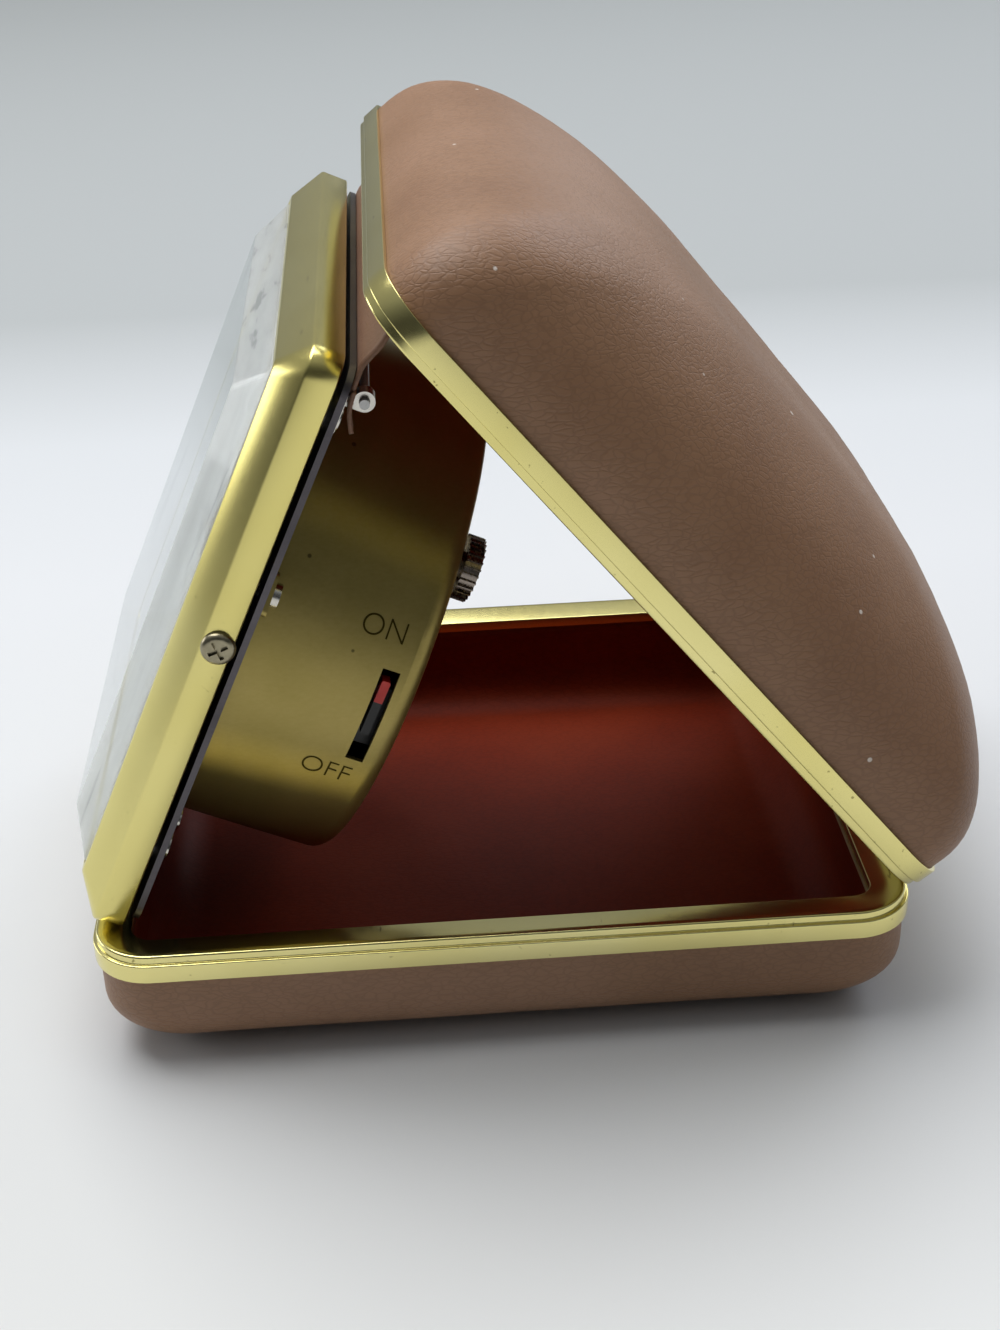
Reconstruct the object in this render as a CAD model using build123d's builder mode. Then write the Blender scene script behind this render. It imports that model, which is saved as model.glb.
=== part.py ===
from build123d import *
import os
from math import atan2, cos, pi, radians, sin, sqrt

# A folding travelling alarm clock: a base tray, a deeper lid hinged along the rear, and a square clock
# that hangs from the lid's free end on a leatherette web. Millimetres, +Z up, origin under the base,
# X along the hinges, -Y the side that the dial faces.

# Case
case_width = 70.6
case_length = 80.0
corner_radius = 6.0
base_depth = 13.4
base_round_in = 8.5
base_round_up = 7.0
lid_depth = 19.6
lid_round_in = 24.8
lid_round_up = 15.4
base_crown = 7.0
crown_room = 0.3
dome_steps = 6
lid_angle = 51.0

# Layers of the case walls
glue_gap = 0.05
band_thick = 0.4
cover_wall = 0.75
cover_floor = 0.6
shell_wall = 1.75
shell_floor = 0.8
lining_wall = 0.75
lining_floor = 0.5

# Rim section, depths counted from the mouth
rim_height = 2.8
bead_out = 0.35
bead_in = 1.0
bead_height = 0.9
bead_round = 0.42
flange_low = 0.44
flange_thick = 1.21

# Case hinge
hinge_inset = 0.2
mouth_gap = 0.4
hinge_half = 14.0
knuckle_half = 7.0
knuckle_gap = 0.05
knuckle_radius = 1.1
knuckle_room = 0.3
hinge_pin_radius = 0.5
pin_fit = 0.04
leaf_thick = 0.55
leaf_depth = 8.0
rivet_across = 9.0
rivet_depth = 5.2
rivet_radius = 0.6
rivet_head = 1.2
rivet_head_high = 0.45
rivet_fit = 0.03

# Clock frame, crystal and dial, in the clock's own plane with its origin at the middle of the frame's back
foot_inset = 2.8
foot_drop = 0.2
frame_inset = 4.3
pivot_in = 4.5
pivot_out = 1.86
pivot_above = 2.4
pivot_behind = 2.0
frame_corner = 2.5
frame_band = 2.85
frame_bevel = 2.4
bevel_in = 3.3
bevel_corner = 1.2
frame_wall = 2.2
pocket_corner = 1.0
lip_low = 3.9
lip_in = 3.9
seat_gap = 0.2
crystal_proud = 2.4
crystal_side = 0.15
crystal_bevel = 3.6
crystal_wall = 1.9
dial_thick = 0.35
dial_back = 2.15
dial_hole = 2.6
mount_low = 0.3
mount_hole = 3.2
back_gap = 0.65
back_plate_thick = 0.6
back_plate_inset = 0.8
back_hole = 3.4
corner_post_inset = 7.0
corner_post_radius = 1.8
screw_shank = 0.58
screw_fit = 0.03
screw_head = 1.5
screw_head_high = 0.8
side_screw_high = 2.1
side_screw_deep = 1.3
side_screw_head = 1.6
side_screw_dome = 0.75
side_screw_round = 0.6
side_screw_reach = 3.4
recess_long = 1.9
recess_wide = 0.4
recess_deep = 0.35

# Web between lid and clock
web_inset = 6.3
web_thick = 0.5
web_bend = 1.2
web_lid_end = 4.6
web_lid_start = 1.2
web_top_inset = 0.4
web_tab = 2.6
batten_thick = 0.6
batten_low = 2.1
batten_high = 4.4
batten_rivet = 18.0
batten_rivet_head = 0.9
wire_radius = 0.45
wire_inset = 0.8
wire_below = 3.8
wire_behind = 3.1
clip_inset = 2.3
clip_wide = 1.6
clip_ring = 0.95
clip_foot = 3.6
clip_thick = 0.4

# Movement can
can_radius = 26.6
can_drop = 3.0
can_depth = 18.3
can_wall = 0.6
can_round = 1.6
can_inner_radius = can_radius - can_wall
lug_angles = (20, 160, 225, 315)
lug_reach = 3.4
lug_wide = 4.2
lug_screw_out = 1.9
lug_screw_head = 1.2
lug_screw_high = 0.7
slot_top = 2.8
slot_room = 0.3
slot_middle = 15.1
slot_wide = 1.75

# Movement plates, depths counted back from the frame
plate_radius = 24.6
plate_thick = 0.8
front_plate_depth = 4.8
rear_plate_depth = 12.6
post_radius = 1.5
post_ring = 20.6
post_angles = (108, 221, 319)
pillar_ring = 22.0
pillar_angles = (30, 140, 230, 310)
pillar_radius = 1.3
pillar_bore = 0.62
pillar_screw_reach = 2.6
pivot_radius = 0.4
arbor_radius = 0.6
run_fit = 0.05
shaft_room = 0.6

# Gears
addendum = 0.6
dedendum = 0.95
tooth_root = 0.36
tooth_tip = 0.2
work_module = 0.4
cannon_teeth = 10
minute_wheel_teeth = 30
minute_pinion_teeth = 8
hour_teeth = 32
minute_wheel_way = 200
minute_stud = 0.5
barrel_module = 0.4
barrel_teeth = 40
centre_pinion_teeth = 10
barrel_way = 215
train_module = 0.3
centre_teeth = 54
third_pinion_teeth = 8
third_way = 60
third_module = 0.28
third_teeth = 56
escape_pinion_teeth = 7
escape_way = -20
escape_teeth = 15
escape_module = 0.56
alarm_module = 0.498
alarm_teeth = 68
alarm_pinion_teeth = 12
alarm_way = 34.0
ratchet_teeth = 20
ratchet_module = 0.44

# Depth bands of the wheels, front face then back face, counted back from the frame
alarm_wheel_band = (1.4, 1.75)
hour_wheel_band = (2.1, 2.7)
minute_pinion_band = (1.9, 2.9)
minute_wheel_band = (3.5, 4.1)
cannon_band = (3.3, 4.3)
centre_pinion_band = (6.4, 7.8)
centre_wheel_band = (11.0, 11.4)
third_pinion_band = (10.6, 11.8)
third_wheel_band = (9.2, 9.6)
escape_pinion_band = (8.7, 10.1)
escape_wheel_band = (6.8, 7.2)
barrel_band = (6.4, 10.3)
barrel_gear_band = (6.6, 7.6)
lever_band = (6.7, 7.3)
balance_band = (8.2, 9.2)
hairspring_band = (10.4, 10.8)
hammer_band = (8.7, 9.5)
alarm_barrel_band = (6.4, 11.9)
ratchet_band = (13.8, 14.4)
knob_band = (18.9, 20.5)
key_hub_band = (18.7, 19.5)
key_wing_band = (19.5, 20.6)

# Springs, barrels and escapement
barrel_wall = 0.5
barrel_radius = 7.4
winding_arbor = 1.0
mainspring_start = 1.8
mainspring_pitch = 0.75
mainspring_turns = 6
mainspring_thick = 0.25
alarm_barrel_radius = 6.6
alarm_barrel_at = (3.5, -17.2)
alarm_spring_turns = 5
lever_gap = 5.9
lever_way = -75
balance_gap = 7.6
balance_way = -100
balance_radius = 6.0
balance_rim = 0.8
balance_spoke = 0.9
hairspring_start = 1.0
hairspring_pitch = 0.6
hairspring_turns = 5
hairspring_thick = 0.14
lever_tail = 4.6
lever_arm = 2.3
lever_wide = 0.9
hammer_at = (-16.0, 4.0)
hammer_arm = 5.6
hammer_head = 1.5
click_gap = 6.6
click_way = 250
click_tip = 0.45
click_lean = 35

# Knobs, keys and the alarm switch
time_knob_radius = 4.6
set_knob_radius = 3.1
set_collar_radius = 1.5
knob_teeth = 28
key_wing_half = 4.9
alarm_key_half = 6.0
key_wing_wide = 3.6
key_hub = 1.9
switch_travel = 2.5
switch_face = 24.6
switch_thick = 2.0
switch_tip_out = 25.9
switch_lever_low = -4.5
switch_split = -0.9
switch_top = 1.5
switch_tip_wide = 0.85
switch_slide_high = 0.2
switch_slide_low = -6.2
switch_slide_back = 16.2

# Hands, depths counted forward from the frame's back
alarm_hand_at = 2.65
hour_hand_at = 3.15
minute_hand_at = 3.95
hand_thick = 0.2
minute_hand_long = 21.5
minute_hand_tail = 5.0
minute_hand_wide = 1.5
minute_hand_boss = 1.5
hour_hand_long = 14.5
hour_hand_tail = 4.0
hour_hand_wide = 1.9
alarm_hand_long = 11.0
alarm_hand_tail = 2.4
alarm_hand_wide = 1.2
tube_wall = 0.5
cannon_tube = 0.95
alarm_hand_turn = 180
hour_hand_turn = 305
minute_hand_turn = 60

# Places worked out from the driving sizes
cover_inset = band_thick + glue_gap
shell_inset = cover_inset + cover_wall + glue_gap
lining_inset = shell_inset + shell_wall + glue_gap
cavity_inset = lining_inset + lining_wall
shell_drop = cover_floor + glue_gap
lining_drop = shell_drop + shell_floor + glue_gap
cavity_drop = lining_drop + lining_floor
flange_under = flange_low + flange_thick
layer_start = flange_under + glue_gap

hinge_y = case_length / 2 - hinge_inset
hinge_rise = mouth_gap / 2
lid_along = Vector(0, -cos(radians(lid_angle)), sin(radians(lid_angle)))
lid_out = Vector(0, sin(radians(lid_angle)), cos(radians(lid_angle)))
hinge_at = Vector(0, hinge_y, base_depth + hinge_rise)
lid_crown = min(case_width, case_length) / 2 - cover_inset - lid_round_in - crown_room

# The clock fills the space between its foot on the base rim and its pivot at the lid's free end
clock_foot = Vector(0, foot_inset - case_length / 2, base_depth - foot_drop)
lid_mid = hinge_at + lid_along * hinge_y + lid_out * hinge_rise
pivot_at = lid_mid + lid_along * (case_length / 2 - pivot_in) - lid_out * pivot_out
pivot_span = pivot_at - clock_foot
frame_height = sqrt(pivot_span.length**2 - pivot_behind**2) - pivot_above
clock_lean = atan2(pivot_span.Y, pivot_span.Z) - atan2(pivot_behind, frame_height + pivot_above)
frame_width = case_width - 2 * frame_inset
clock_up = Vector(0, sin(clock_lean), cos(clock_lean))
clock_front = Vector(0, -cos(clock_lean), sin(clock_lean))
corner_post_x = frame_width / 2 - corner_post_inset
corner_post_y = frame_height / 2 - corner_post_inset
web_half = case_width / 2 - web_inset
web_clock_start = frame_height / 2 - web_top_inset
web_clock_end = web_clock_start - web_tab
wire_half = web_half - wire_inset
wire_high = frame_height / 2 - wire_below
clip_across = web_half - clip_inset
frame_deep = frame_band + frame_bevel

# The two trays share one layout: local z runs from the mouth into the tray, local y to the rear hinge
BASE = Plane(origin=(0, 0, base_depth), x_dir=(-1, 0, 0), z_dir=(0, 0, -1))
LID = Plane(origin=lid_mid, x_dir=(1, 0, 0), z_dir=lid_out)
CLOCK = Plane(origin=clock_foot + clock_up * (frame_height / 2), x_dir=(1, 0, 0), z_dir=clock_front)

os.makedirs("parts", exist_ok=True)


def write(piece, name):
    """Label a finished piece and write it under its name."""
    piece.part.label = name
    export_step(piece.part, f"parts/{name}.step")


def spot(plane, x=0.0, y=0.0, z=0.0):
    """The same plane with its origin moved to a local point."""
    return Plane(origin=plane.from_local_coords((x, y, z)), x_dir=plane.x_dir, z_dir=plane.z_dir)


def turned(plane, degrees):
    """The same plane turned about its own normal."""
    way = radians(degrees)
    x_dir = plane.x_dir * cos(way) + plane.y_dir * sin(way)
    return Plane(origin=plane.origin, x_dir=x_dir, z_dir=plane.z_dir)


def sideways(plane, x, y, z, z_dir):
    """A plane through a local point that faces along or against the plane's y direction."""
    return Plane(origin=plane.from_local_coords((x, y, z)), x_dir=plane.x_dir, z_dir=z_dir)


def polar(origin, distance, way):
    """The point at a distance and an angle in degrees from another."""
    return (origin[0] + distance * cos(radians(way)), origin[1] + distance * sin(radians(way)))


def rod(plane, at, z0, z1, radius, mode=Mode.ADD):
    """A round bar square to the plane, between two local depths."""
    with BuildSketch(spot(plane, at[0], at[1], z0)) as disc:
        Circle(radius)
    extrude(disc.sketch, amount=z1 - z0, mode=mode)


def block(plane, x, y, z, mode=Mode.ADD):
    """A box between pairs of local limits."""
    middle = spot(plane, (x[0] + x[1]) / 2, (y[0] + y[1]) / 2, z[0])
    with BuildSketch(middle) as outline:
        Rectangle(x[1] - x[0], y[1] - y[0])
    extrude(outline.sketch, amount=z[1] - z[0], mode=mode)


def rounded(plane, width, length, radius, z):
    """The placed face of a rounded rectangle."""
    with BuildSketch(spot(plane, z=z)) as outline:
        RectangleRounded(width, length, radius)
    return outline.sketch.face()


def tray_face(plane, z, inset, radius):
    """The case outline, drawn in by an inset."""
    return rounded(plane, case_width - 2 * inset, case_length - 2 * inset, radius, z)


def pillow(plane, depth, round_in, round_up, crown, inset, drop, start, mode=Mode.ADD):
    """A tray's outside or inside: straight walls that turn over into a soft floor."""
    wall_end = depth - round_up
    wall_radius = corner_radius - inset
    layer_in = inset - cover_inset
    turn_in = round_in - layer_in
    turn_up = round_up - drop
    opening = (crown - layer_in - wall_radius) / turn_in
    extrude(tray_face(plane, start, inset, wall_radius), amount=wall_end - start, mode=mode)
    sections = []
    for step in range(dome_steps + 1):
        turn = pi / 2 * step / dome_steps
        drawn = turn_in * (1 - cos(turn))
        z = wall_end + turn_up * sin(turn)
        sections.append(tray_face(plane, z, inset + drawn, wall_radius + opening * drawn))
    loft(sections, mode=mode)


def tray_layer(plane, size, outer, inner):
    """One layer of a tray between two skins, each an inset and a drop."""
    pillow(plane, *size, *outer, layer_start)
    pillow(plane, *size, *inner, 0, Mode.SUBTRACT)


def rim_ring(plane):
    """The gilt rim: an outer band, a rounded shoulder at the mouth and a nearly flat flange inside it."""
    extrude(tray_face(plane, bead_height, 0, corner_radius), amount=rim_height - bead_height)
    extrude(tray_face(plane, 0, bead_out, corner_radius - bead_out), amount=bead_height)
    bead_radius = corner_radius - bead_in
    flange_radius = corner_radius - cavity_inset
    slope = [tray_face(plane, 0, bead_in, bead_radius)]
    slope.append(tray_face(plane, flange_low, cavity_inset, flange_radius))
    loft(slope, ruled=True, mode=Mode.SUBTRACT)
    extrude(tray_face(plane, flange_low, cavity_inset, flange_radius), amount=rim_height, mode=Mode.SUBTRACT)
    seat = tray_face(plane, flange_under, band_thick, corner_radius - band_thick)
    extrude(seat, amount=rim_height, mode=Mode.SUBTRACT)


def along_x(plane, y, z, x0, x1, radius, mode=Mode.ADD):
    """A round bar along the plane's x direction."""
    end = Plane(origin=plane.from_local_coords((x0, y, z)), x_dir=plane.y_dir, z_dir=plane.x_dir)
    with BuildSketch(end) as disc:
        Circle(radius)
    extrude(disc.sketch, amount=x1 - x0, mode=mode)


def hinge_room(plane):
    """Clear a rim where the hinge barrel and leaf lie."""
    reach = hinge_half + knuckle_room
    along_x(plane, hinge_y, -hinge_rise, -reach, reach, knuckle_radius + knuckle_room, Mode.SUBTRACT)
    deep = (-rim_height, rim_height + glue_gap)
    block(plane, (-reach, reach), (case_length / 2 - cover_inset, case_length), deep, Mode.SUBTRACT)


def rivet_holes(plane):
    """Holes for the two hinge rivets through whatever stands at the rear."""
    for side in (-1, 1):
        start = sideways(plane, side * rivet_across, 0, rivet_depth, plane.y_dir)
        with BuildSketch(start) as hole:
            Circle(rivet_radius + rivet_fit)
        extrude(hole.sketch, amount=case_length, mode=Mode.SUBTRACT)


def hinge_leaf(plane, own, other):
    """A hinge leaf with its knuckles on the rear wall; own and other are the knuckle spans along x."""
    leaf_in = case_length / 2 - cover_inset + glue_gap
    block(plane, (-hinge_half, hinge_half), (leaf_in, leaf_in + leaf_thick), (-hinge_rise, leaf_depth))
    for span in own:
        along_x(plane, hinge_y, -hinge_rise, span[0], span[1], knuckle_radius)
    for span in other:
        x0, x1 = span[0] - 2 * knuckle_gap, span[1] + 2 * knuckle_gap
        along_x(plane, hinge_y, -hinge_rise, x0, x1, knuckle_radius + knuckle_room, Mode.SUBTRACT)
    bore = hinge_pin_radius + pin_fit
    along_x(plane, hinge_y, -hinge_rise, -case_width, case_width, bore, Mode.SUBTRACT)
    rivet_holes(plane)


def hinge_rivets(plane):
    """Two domed rivets through a leaf, the cover and the shell."""
    head_in = case_length / 2 - cover_inset + glue_gap + leaf_thick
    for side in (-1, 1):
        out = sideways(plane, side * rivet_across, head_in, rivet_depth, plane.y_dir)
        rod(out, (0, 0), 0, rivet_head_high, rivet_head)
        rod(out, (0, 0), case_length / 2 - lining_inset + glue_gap - head_in, 0, rivet_radius)


def frame_face(inset, radius, z):
    """The frame's outline in the clock's plane, drawn in by an inset."""
    return rounded(CLOCK, frame_width - 2 * inset, frame_height - 2 * inset, radius, z)


def gear(plane, at, band, teeth, module, phase, mode=Mode.ADD):
    """A spur wheel between two depths, with one tooth at the phase angle."""
    pitch = teeth * module / 2
    root = pitch - dedendum * module
    high = (addendum + dedendum) * module
    low = root * cos(pi / teeth) - root
    base_half = tooth_root * pi * module / 2
    tip_half = tooth_tip * pi * module / 2
    with BuildSketch(spot(plane, at[0], at[1], -band[1])) as blank:
        Circle(root)
        with PolarLocations(root, teeth, start_angle=phase):
            Polygon((low, -base_half), (high, -tip_half), (high, tip_half), (low, base_half), align=None)
    extrude(blank.sketch, amount=band[1] - band[0], mode=mode)


def mesh_phase(phase, teeth, other_teeth, way):
    """The phase of a wheel that meshes with another one, in the given direction from it."""
    return way + 180 + 180 / other_teeth - (phase - way) * teeth / other_teeth


def gear_gap(teeth, other_teeth, module):
    """Distance between the axes of two meshing wheels."""
    return (teeth + other_teeth) * module / 2


def shaft(at, band, radius, mode=Mode.ADD):
    """A round bar in the clock between two depths behind the frame."""
    rod(CLOCK, at, -band[1], -band[0], radius, mode)


def spiral(at, band, start, pitch, turns, thick):
    """A flat spiral spring of half-circle turns."""
    middle_depth = -(band[0] + band[1]) / 2
    ground = spot(CLOCK, at[0], at[1], middle_depth)
    with BuildLine(ground) as path:
        radius = start
        centre = 0.0
        for turn in range(2 * turns):
            side = 1 if turn % 2 == 0 else -1
            begin = 0 if side == 1 else 180
            CenterArc((centre, 0), radius, begin, 180)
            radius += pitch / 2
            centre += side * pitch / 2
    first = Plane(origin=path.wire() @ 0, x_dir=CLOCK.x_dir, z_dir=path.wire() % 0)
    with BuildSketch(first) as strip:
        Rectangle(thick, band[1] - band[0])
    sweep(strip.sketch, path=path.wire())


def hand(z, turn, length, tail, wide, hub, bore):
    """A tapered hand with a round boss, turned clockwise from twelve."""
    face = turned(spot(CLOCK, z=z), -turn)
    tip = wide / 3
    with BuildSketch(face) as blade:
        Polygon((-wide / 2, -tail), (wide / 2, -tail), (tip / 2, length), (-tip / 2, length), align=None)
        Circle(hub)
        Circle(bore, mode=Mode.SUBTRACT)
    extrude(blade.sketch, amount=hand_thick)


# Base tray
base_size = (base_depth, base_round_in, base_round_up, base_crown)
lid_size = (lid_depth, lid_round_in, lid_round_up, lid_crown)
cover_skin = (cover_inset, 0)
cover_back = (shell_inset - glue_gap, cover_floor)
shell_skin = (shell_inset, shell_drop)
shell_back = (lining_inset - glue_gap, lining_drop - glue_gap)
lining_skin = (lining_inset, lining_drop)
cavity_skin = (cavity_inset, cavity_drop)

with BuildPart() as base_cover:
    tray_layer(BASE, base_size, cover_skin, cover_back)
    rivet_holes(BASE)
write(base_cover, "base_cover")

with BuildPart() as base_shell:
    tray_layer(BASE, base_size, shell_skin, shell_back)
    rivet_holes(BASE)
write(base_shell, "base_shell")

with BuildPart() as base_lining:
    tray_layer(BASE, base_size, lining_skin, cavity_skin)
write(base_lining, "base_lining")

with BuildPart() as base_rim:
    rim_ring(BASE)
    fillet(base_rim.faces().sort_by(Axis.Z)[-1].outer_wire().edges(), radius=bead_round)
    hinge_room(BASE)
write(base_rim, "base_rim")

outer_knuckles = ((-hinge_half, -knuckle_half - knuckle_gap), (knuckle_half + knuckle_gap, hinge_half))
middle_knuckle = ((-knuckle_half, knuckle_half),)

with BuildPart() as base_hinge_leaf:
    hinge_leaf(BASE, outer_knuckles, middle_knuckle)
write(base_hinge_leaf, "base_hinge_leaf")

with BuildPart() as base_hinge_rivets:
    hinge_rivets(BASE)
write(base_hinge_rivets, "base_hinge_rivets")

with BuildPart() as case_hinge_pin:
    along_x(BASE, hinge_y, -hinge_rise, -hinge_half, hinge_half, hinge_pin_radius)
write(case_hinge_pin, "case_hinge_pin")

# Lid
with BuildPart() as lid_cover:
    tray_layer(LID, lid_size, cover_skin, cover_back)
    rivet_holes(LID)
write(lid_cover, "lid_cover")

with BuildPart() as lid_shell:
    tray_layer(LID, lid_size, shell_skin, shell_back)
    rivet_holes(LID)
write(lid_shell, "lid_shell")

with BuildPart() as lid_lining:
    tray_layer(LID, lid_size, lining_skin, cavity_skin)
write(lid_lining, "lid_lining")

with BuildPart() as lid_rim:
    rim_ring(LID)
    fillet(lid_rim.faces().sort_by(Axis(LID.origin, LID.z_dir))[0].outer_wire().edges(), radius=bead_round)
    hinge_room(LID)
write(lid_rim, "lid_rim")

with BuildPart() as lid_hinge_leaf:
    hinge_leaf(LID, middle_knuckle, outer_knuckles)
write(lid_hinge_leaf, "lid_hinge_leaf")

with BuildPart() as lid_hinge_rivets:
    hinge_rivets(LID)
write(lid_hinge_rivets, "lid_hinge_rivets")

# Web that the clock hangs on, clamped in the lid by a batten and to the clock by a wire in two clips
lid_end = cavity_inset - case_length / 2 + glue_gap
back_face = -back_gap - back_plate_thick


def side_view(point):
    """World Y and Z of a point, for a sketch seen along X."""
    return (point.Y, point.Z)


with BuildPart() as hinge_strap:
    web_line = [
        side_view(LID.from_local_coords((0, lid_end, web_lid_end))),
        side_view(LID.from_local_coords((0, lid_end, web_lid_start))),
        side_view(CLOCK.from_local_coords((0, web_clock_start, back_face - glue_gap))),
        side_view(CLOCK.from_local_coords((0, web_clock_end, back_face - glue_gap))),
    ]
    with BuildSketch(Plane.YZ.offset(-web_half)):
        with BuildLine():
            FilletPolyline(*web_line, radius=web_bend)
            offset(amount=web_thick, side=Side.LEFT)
        make_face()
    extrude(amount=2 * web_half)
write(hinge_strap, "hinge_strap")

batten_in = lid_end + web_thick + glue_gap
with BuildPart() as strap_batten:
    block(LID, (-web_half, web_half), (batten_in, batten_in + batten_thick), (batten_low, batten_high))
    long_edges = strap_batten.edges().filter_by(Axis.X)
    fillet(long_edges, radius=batten_thick / 4)
    for across in (-batten_rivet, 0, batten_rivet):
        head = sideways(LID, across, batten_in + batten_thick, (batten_low + batten_high) / 2, LID.y_dir)
        rod(head, (0, 0), -batten_thick / 2, rivet_head_high, batten_rivet_head)
write(strap_batten, "strap_batten")

with BuildPart() as strap_wire:
    along_x(CLOCK, wire_high, -wire_behind, -wire_half, wire_half, wire_radius)
write(strap_wire, "strap_wire")

with BuildPart() as strap_clips:
    for side in (-1, 1):
        x0 = side * clip_across - clip_wide / 2
        x1 = side * clip_across + clip_wide / 2
        along_x(CLOCK, wire_high, -wire_behind, x0, x1, clip_ring)
        foot = (back_face - clip_thick, back_face)
        block(CLOCK, (x0, x1), (wire_high - clip_foot, wire_high), foot)
        stalk = (-wire_behind, back_face)
        block(CLOCK, (x0, x1), (wire_high - clip_ring, wire_high - clip_ring + clip_thick), stalk)
    bore = wire_radius + pin_fit
    along_x(CLOCK, wire_high, -wire_behind, -case_width, case_width, bore, Mode.SUBTRACT)
write(strap_clips, "strap_clips")

# Clock frame, crystal, dial and the plates behind them
with BuildPart() as bezel_frame:
    extrude(frame_face(0, frame_corner, 0), amount=frame_band)
    bevel = [frame_face(0, frame_corner, frame_band)]
    bevel.append(frame_face(bevel_in, bevel_corner, frame_deep))
    loft(bevel, ruled=True)
    extrude(frame_face(frame_wall, pocket_corner, 0), amount=lip_low, mode=Mode.SUBTRACT)
    extrude(frame_face(lip_in, pocket_corner, 0), amount=2 * frame_deep, mode=Mode.SUBTRACT)
    screw_hole = screw_shank + screw_fit + run_fit
    along_x(CLOCK, side_screw_high, side_screw_deep, -case_width, case_width, screw_hole, Mode.SUBTRACT)
write(bezel_frame, "bezel_frame")

seat_in = frame_wall + seat_gap
crystal_low = dial_back + dial_thick + glue_gap
with BuildPart() as crystal:
    extrude(frame_face(seat_in, pocket_corner, crystal_low), amount=lip_low - glue_gap - crystal_low)
    raised_in = lip_in + crystal_side
    extrude(frame_face(raised_in, pocket_corner, crystal_low), amount=frame_deep - crystal_low)
    facet = [frame_face(raised_in, pocket_corner, frame_deep)]
    facet.append(frame_face(raised_in + crystal_bevel, pocket_corner, frame_deep + crystal_proud))
    loft(facet, ruled=True)
    hollow_face = frame_face(raised_in + crystal_wall, pocket_corner, crystal_low)
    extrude(hollow_face, amount=frame_deep - crystal_low, mode=Mode.SUBTRACT)
write(crystal, "crystal")

with BuildPart() as dial:
    extrude(frame_face(seat_in, pocket_corner, dial_back), amount=dial_thick)
    rod(CLOCK, (0, 0), 0, frame_deep, dial_hole, Mode.SUBTRACT)
write(dial, "dial")

corner_posts = [(sx * corner_post_x, sy * corner_post_y) for sx in (-1, 1) for sy in (-1, 1)]
with BuildPart() as mount_plate:
    mount_high = dial_back - glue_gap
    extrude(frame_face(seat_in, pocket_corner, mount_low), amount=mount_high - mount_low)
    for at in corner_posts:
        rod(CLOCK, at, -back_gap, mount_low, corner_post_radius)
    for at in corner_posts:
        rod(CLOCK, at, -back_gap, mount_high - 2 * glue_gap, screw_shank + screw_fit, Mode.SUBTRACT)
    rod(CLOCK, (0, 0), -frame_deep, frame_deep, mount_hole, Mode.SUBTRACT)
    for side in (-1, 1):
        x_in = frame_width / 2 - side_screw_reach - 2 * screw_shank
        ends = sorted((side * x_in, side * frame_width / 2))
        along_x(CLOCK, side_screw_high, side_screw_deep, *ends, screw_shank + screw_fit, Mode.SUBTRACT)
write(mount_plate, "mount_plate")

with BuildPart() as bezel_screws:
    for side in (-1, 1):
        seat_at = CLOCK.from_local_coords((side * frame_width / 2, side_screw_high, side_screw_deep))
        face = Plane(origin=seat_at, x_dir=CLOCK.y_dir, z_dir=CLOCK.x_dir * side)
        rod(face, (0, 0), -side_screw_reach, 0, screw_shank)
        rod(face, (0, 0), 0, side_screw_dome, side_screw_head)
        crown = bezel_screws.faces().sort_by(Axis.X)[0 if side < 0 else -1]
        fillet(crown.edges(), radius=side_screw_round)
        for turn in (45, 135):
            with BuildSketch(turned(spot(face, z=side_screw_dome - recess_deep), turn)) as cross:
                Rectangle(recess_long, recess_wide)
            extrude(cross.sketch, amount=side_screw_dome, mode=Mode.SUBTRACT)
write(bezel_screws, "bezel_screws")

can_at = (0, -can_drop)
lug_spots = [polar(can_at, can_radius + lug_screw_out, way) for way in lug_angles]
with BuildPart() as back_plate:
    extrude(frame_face(back_plate_inset, frame_corner, back_face), amount=back_plate_thick)
    rod(CLOCK, (0, 0), -can_depth, frame_deep, back_hole, Mode.SUBTRACT)
    for at in corner_posts + lug_spots:
        rod(CLOCK, at, -can_depth, frame_deep, screw_shank + screw_fit, Mode.SUBTRACT)
write(back_plate, "back_plate")

with BuildPart() as back_plate_screws:
    for at in corner_posts:
        rod(CLOCK, at, back_face - screw_head_high, back_face, screw_head)
        rod(CLOCK, at, back_face, mount_low, screw_shank)
write(back_plate_screws, "back_plate_screws")

# Wheel places
centre_at = (0.0, 0.0)
minute_wheel_at = polar(centre_at, gear_gap(cannon_teeth, minute_wheel_teeth, work_module), minute_wheel_way)
barrel_at = polar(centre_at, gear_gap(centre_pinion_teeth, barrel_teeth, barrel_module), barrel_way)
third_at = polar(centre_at, gear_gap(centre_teeth, third_pinion_teeth, train_module), third_way)
escape_at = polar(third_at, gear_gap(third_teeth, escape_pinion_teeth, third_module), escape_way)
lever_at = polar(escape_at, lever_gap, lever_way)
balance_at = polar(lever_at, balance_gap, balance_way)
alarm_set_at = polar(centre_at, gear_gap(alarm_teeth, alarm_pinion_teeth, alarm_module), alarm_way)
click_at = polar(barrel_at, click_gap, click_way)
pillar_spots = [polar(can_at, pillar_ring, way) for way in pillar_angles]
fine_pivots = (third_at, escape_at, lever_at, balance_at, hammer_at)
through_shafts = (barrel_at, alarm_barrel_at)
front_band = (front_plate_depth, front_plate_depth + plate_thick)
rear_band = (rear_plate_depth, rear_plate_depth + plate_thick)
pivot_band = (front_band[0], rear_band[1])

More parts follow.
